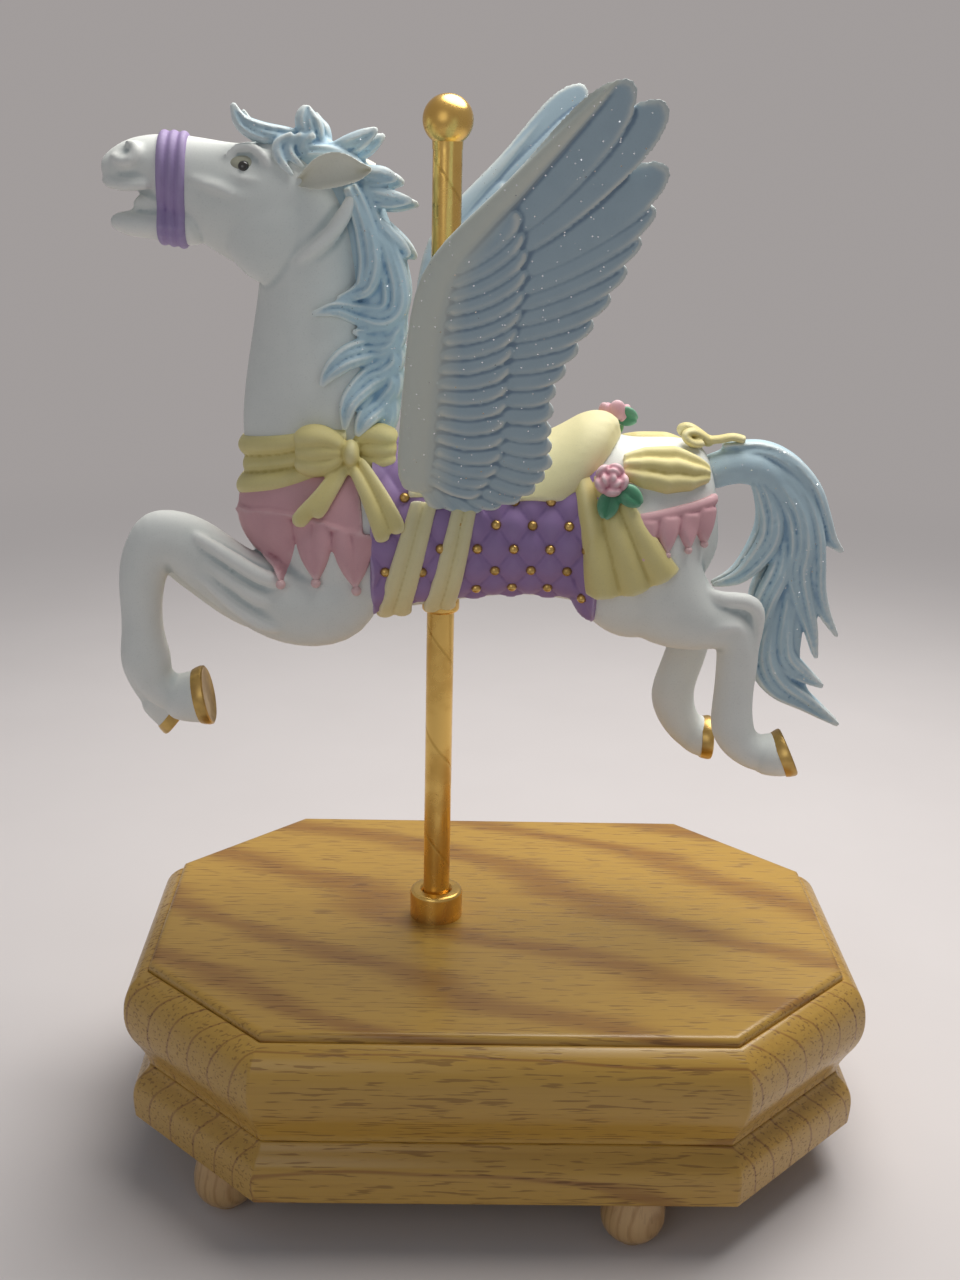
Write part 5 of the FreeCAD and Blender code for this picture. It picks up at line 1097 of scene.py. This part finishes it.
roses, leaves = bmesh.new(), bmesh.new()
near_leaves = [[near_flank(x, z, 2.8) for x, z in points] for points in NEAR_LEAVES]
far_leaves = [[Vector(point) for point in points] for points in FAR_LEAVES]
for side, heart, lean, pair in ((-1, near_flank(22.4, 164.6, 3.2), 62, near_leaves),
                                (1, Vector((24.2, 6.5, 176.6)), 34, far_leaves)):
    outward = Vector((0, side * sin(radians(lean)), cos(radians(lean))))
    tilt = Vector((0, 0, 1)).rotation_difference(outward).to_matrix().to_4x4()
    for ring_radius, count, size, rise in ((0.0, 1, 1.5, 1.2), (1.25, 3, 1.6, 0.9), (2.35, 5, 2.0, 0.0)):
        for petal in range(count):
            bearing = degrees(FULL_TURN * petal / count + ring_radius)
            swing = Matrix.Rotation(radians(bearing), 3, "Z")
            local = Vector((ring_radius, 0, rise))
            local.rotate(swing)
            made = bmesh.ops.create_icosphere(roses, subdivisions=3, radius=1.0)["verts"]
            bmesh.ops.scale(roses, vec=(0.62 * size, size, 1.15 * size), verts=made)
            bmesh.ops.rotate(roses, matrix=Matrix.Rotation(radians(24), 3, "Y"), verts=made)
            bmesh.ops.rotate(roses, matrix=swing, verts=made)
            bmesh.ops.translate(roses, vec=local, verts=made)
            bmesh.ops.transform(roses, matrix=Matrix.Translation(heart) @ tilt, verts=made)
    for start, middle, end in pair:
        across = (end - start).cross(Vector((0, side, 0.3))).normalized()
        vane = [(start, 0.5, 0.5), (start.lerp(middle, 0.5), 1.3, 0.9), (middle, 1.5, 0.95),
                (middle.lerp(end, 0.55), 1.15, 0.8), (end, 0.3, 0.4)]
        for half in (-1, 1):
            drawn(leaves, [(spot + across * half * 0.8 * deep, deep, thick) for spot, deep, thick in vane],
                  side=(0, side, 0.3), sides=10)
cast("roses", roses, rose_pink, "yellow_paint", voxel=0.28, passes=1, reach=8, depth=0.3)
cast("rose_leaves", leaves, leaf_green, "yellow_paint", voxel=0.28, rounding=2, reach=8, depth=0.3)

# Wings. Each is cast apart and joined to the shoulder with slip: a rounded arm along the front edge, a row of
# long feathers that fan out of it and two rows of short ones on top. Blue wash that is also painted shade in
# the grooves, pale ridges that are also painted highlights, glitter.
WING_LEAN = radians(25)
WING_ROOT_Y, WING_ROOT_Z = 15.5, 160.0
WING_CREAM = (0.66, 0.67, 0.57)
# the deeper blue in the grooves is painted shade as well as paint, and the pale ridges painted highlights
wing_blue = painted("wing_blue", (0.36, 0.47, 0.54), (0.17, 0.25, 0.34), (0.58, 0.63, 0.62), 0.62, 0.035,
                    WING_CREAM)
PRIMARIES = [
    ((-11, 60.5), (18.4, 96.6), 5.6), ((-11.5, 57.5), (24.8, 92.8), 5.8),
    ((-12.5, 54.5), (26.4, 80.4), 5.6)]
FEATHER_ROOTS = [(-13, 51), (-14.5, 42), (-15.5, 33), (-16, 24), (-16.5, 15), (-18.5, 9.5)]
FEATHER_TIPS = [
    (25.0, 72.0), (20.2, 57.6), (13.8, 43.8), (8.8, 31.6), (8.3, 20.0), (9.0, 10.4), (4.6, 2.6),
    (-5, -1.6), (-14, -0.6)]
COVERT_TIPS = [
    (-1.0, 71.0), (1.0, 62.0), (0.6, 52.0), (-0.8, 42.0), (-1.4, 32.0), (-1.6, 22.0), (-2.2, 12.0),
    (-6.0, 4.6)]
COVERT_ROOTS = [(-13, 59), (-14, 51), (-15, 42), (-16, 33), (-16, 24), (-16, 15), (-17.5, 9)]
FEATHER_COUNT, COVERT_COUNT = 19, 17
ARM = [
    (-19.4, 3.0, 4.6, 2.4), (-19.6, 12, 4.8, 2.4), (-18.7, 24, 4.7, 2.3), (-18.0, 36, 4.5, 2.3),
    (-17.2, 47, 4.4, 2.3), (-15.6, 55.5, 4.2, 2.3), (-12.2, 62.2, 3.4, 2.1), (-6.6, 69.4, 2.5, 1.8),
    (0.8, 78.4, 1.9, 1.5), (8.4, 88.0, 1.4, 1.2), (15.4, 96.4, 0.6, 0.6)]
ARM_UPS = [up for along, up, deep, thick in ARM]
ARM_FRONTS = [along - deep for along, up, deep, thick in ARM]
ARM_WIDTHS = [1.35 * deep for along, up, deep, thick in ARM]


def wing_spot(along, up, out, side):
    """A spot on a leaning wing: along X, up its plane, and outward from its middle."""
    y = WING_ROOT_Y + up * sin(WING_LEAN) + out * cos(WING_LEAN)
    return Vector((along, side * y, WING_ROOT_Z + up * cos(WING_LEAN) - out * sin(WING_LEAN)))


def feather(root, tip, wide, outs, tilt, thick):
    """One feather of the wing in hand: narrow at the quill, full near the end and round at the tip, with one
    edge lifted. It lies outward from the middle by its outs, at the root and at the tip."""
    (root_x, root_up), (tip_x, tip_up) = root, tip
    sag = 0.05 * (tip_x - root_x)
    middle = ((root_x + tip_x) / 2, (root_up + tip_up) / 2 - sag, 0.6 * outs[0] + 0.4 * outs[1])
    line = flowing([wing_spot(root_x, root_up, outs[0], side), wing_spot(*middle, side),
                    wing_spot(tip_x, tip_up, outs[1], side)], 7)
    heading = (line[-1] - line[0]).normalized()
    face = Matrix.Rotation(radians(tilt) * side, 3, heading) @ outward
    stations = []
    for count, spot in enumerate(line):
        share = count / (len(line) - 1)
        full = 0.55 + 0.45 * sin(pi / 2 * min(1.0, share / 0.6))
        tipped = sqrt(max(0.02, 1 - max(0.0, (share - 0.72) / 0.29) ** 2))
        stations.append((spot, wide * full * tipped, thick * (0.55 + 0.45 * tipped)))
    drawn(wing, stations, face, sides=10)


def web_spot(u, v):
    along, up = spaced(FEATHER_ROOTS, v).lerp(spaced(FEATHER_TIPS, v), 0.95 * u)
    return wing_spot(along, up, 0.4, side), wing_spot(along, up, -0.4, side)


for side, name in ((-1, "left_wing"), (1, "right_wing")):
    outward = Vector((0, side * cos(WING_LEAN), -sin(WING_LEAN)))
    wing = bmesh.new()
    for root, tip, wide in PRIMARIES:
        feather(root, tip, wide, (0.0, 0.0), 10, 0.75)
    for count in range(FEATHER_COUNT):
        share = count / (FEATHER_COUNT - 1)
        root, tip = spaced(FEATHER_ROOTS, share), spaced(FEATHER_TIPS, share)
        feather(root, tip, 4.3 - 1.1 * share, (0.0, 0.0), 15, 0.9)
    for count in range(COVERT_COUNT):
        share = count / (COVERT_COUNT - 1)
        root, tip = spaced(COVERT_ROOTS, share), spaced(COVERT_TIPS, share)
        for face in (-1, 1):
            feather(root, tip, 2.9 - 0.3 * share, (1.3 * face, 0.9 * face), 15 * face, 0.75)
    layer(wing, 20, 60, web_spot)
    drawn(wing, [(wing_spot(along, up, 0, side), deep, thick) for along, up, deep, thick in ARM], outward)
    made = cast("feathers_" + name, wing, wing_blue, "blue_feather", name, passes=3, rounding=1, reach=8,
                depth=0.17)
    mark = made.data.attributes.new("lead", "FLOAT", "POINT")
    for vert, value in zip(made.data.vertices, mark.data):
        spot = vert.co / MM
        out_y, up_z = side * spot.y - WING_ROOT_Y, spot.z - WING_ROOT_Z
        up = out_y * sin(WING_LEAN) + up_z * cos(WING_LEAN)
        front, wide = (numpy.interp(up, ARM_UPS, values) for values in (ARM_FRONTS, ARM_WIDTHS))
        ahead = min(1.0, max(0.0, 1.9 - (spot.x - front) / wide))
        value.value = ahead * min(1.0, max(0.0, 0.4 + 1.4 * vert.normal.dot(outward)))

# Floor, light and camera. A wide pale floor that passes into a plain backdrop of its own tone, a soft lamp
# above, a weaker one in front, and a lens of about 46 mm at the height and angle of the photograph.
BACKDROP = (0.36, 0.335, 0.33)
FLOOR_PALE, FLOOR_GREY = (0.70, 0.655, 0.65), (0.66, 0.615, 0.61)
FLOOR_RADIUS = 4000.0
FLOOR_FADES = (300.0, 760.0)
AIM = Vector((-5.23, 0, 124.22))
CAMERA_PLACE = Vector((-13.25, -357.91, 244.19))
ELEVATION, AZIMUTH, ROLL = (radians(angle) for angle in (18.527, -1.284, 1.352))
FRAME_HEIGHT, FOCAL_LENGTH, NEAREST = 36.0, 45.61, 0.01


def looked_at(tree):
    """1 for a ray that the eye, a mirror or a glass sends out, and 0 for one that only carries light."""
    rays = put(tree, "LightPath").outputs
    mirrored = maths(tree, "MAXIMUM", rays["Is Glossy Ray"], rays["Is Transmission Ray"])
    return maths(tree, "MAXIMUM", rays["Is Camera Ray"], mirrored)


paper, tree, bsdf, place = shader("pale_floor")
mottle = noise(tree, place, 0.02, 3.0)[0]
feed(tree, bsdf, {"Base Color": mixed(tree, mottle, FLOOR_PALE, FLOOR_GREY), "Roughness": 0.9})
away = vectors(tree, "LENGTH", {0: place})["Value"]
gone = maths(tree, "MULTIPLY", looked_at(tree), eased(tree, away, *FLOOR_FADES))
glow = put(tree, "Emission", {"Color": BACKDROP}).outputs[0]
faded = put(tree, "MixShader", {0: gone, 1: bsdf.outputs[0], 2: glow}).outputs[0]
feed(tree, tree.nodes["Material Output"], {"Surface": faded})
ground = bmesh.new()
bmesh.ops.create_circle(ground, cap_ends=True, segments=96, radius=FLOOR_RADIUS * MM)
sheet = bpy.data.meshes.new("floor")
ground.to_mesh(sheet)
ground.free()
sheet.materials.append(paper)
floor = bpy.data.objects.new("floor", sheet)
bpy.context.scene.collection.objects.link(floor)


def lamp(name, place, size, power, colour):
    light = bpy.data.lights.new(name, "AREA")
    light.shape = "DISK"
    light.size = size * MM
    light.energy = power
    light.color = colour
    made = bpy.data.objects.new(name, light)
    made.location = Vector(place) * MM
    made.rotation_euler = (AIM - Vector(place)).to_track_quat("-Z", "Y").to_euler()
    bpy.context.scene.collection.objects.link(made)


lamp("key_lamp", (120, 140, 600), 520, 4.2, (1.0, 0.98, 0.94))
lamp("front_fill", (-260, -560, 380), 420, 0.4, (0.95, 0.98, 1.0))
world = bpy.data.worlds.new("room")
world.use_nodes = True
bpy.context.scene.world = world
tree = world.node_tree
sky = tree.nodes["Background"]
feed(tree, sky, {"Color": (0.86, 0.92, 1.0), "Strength": 0.18})
plain = put(tree, "Background", {"Color": BACKDROP}).outputs[0]
room = put(tree, "MixShader", {0: looked_at(tree), 1: sky.outputs[0], 2: plain}).outputs[0]
feed(tree, tree.nodes["World Output"], {"Surface": room})

level_back = cos(ELEVATION)
back = Vector((sin(AZIMUTH) * level_back, -cos(AZIMUTH) * level_back, sin(ELEVATION)))
right = Vector((cos(AZIMUTH), sin(AZIMUTH), 0))
upward = back.cross(right)
rolled_right = cos(ROLL) * right + sin(ROLL) * upward
rolled_up = cos(ROLL) * upward - sin(ROLL) * right
lens = bpy.data.cameras.new("camera")
lens.sensor_fit = "VERTICAL"
lens.sensor_height = FRAME_HEIGHT
lens.lens = FOCAL_LENGTH
lens.clip_start = NEAREST
camera = bpy.data.objects.new("camera", lens)
facing = Matrix((rolled_right, rolled_up, back)).transposed().to_4x4()
camera.matrix_world = Matrix.Translation(CAMERA_PLACE * MM) @ facing
bpy.context.scene.collection.objects.link(camera)
bpy.context.scene.camera = camera
bpy.context.scene.view_settings.view_transform = "Standard"
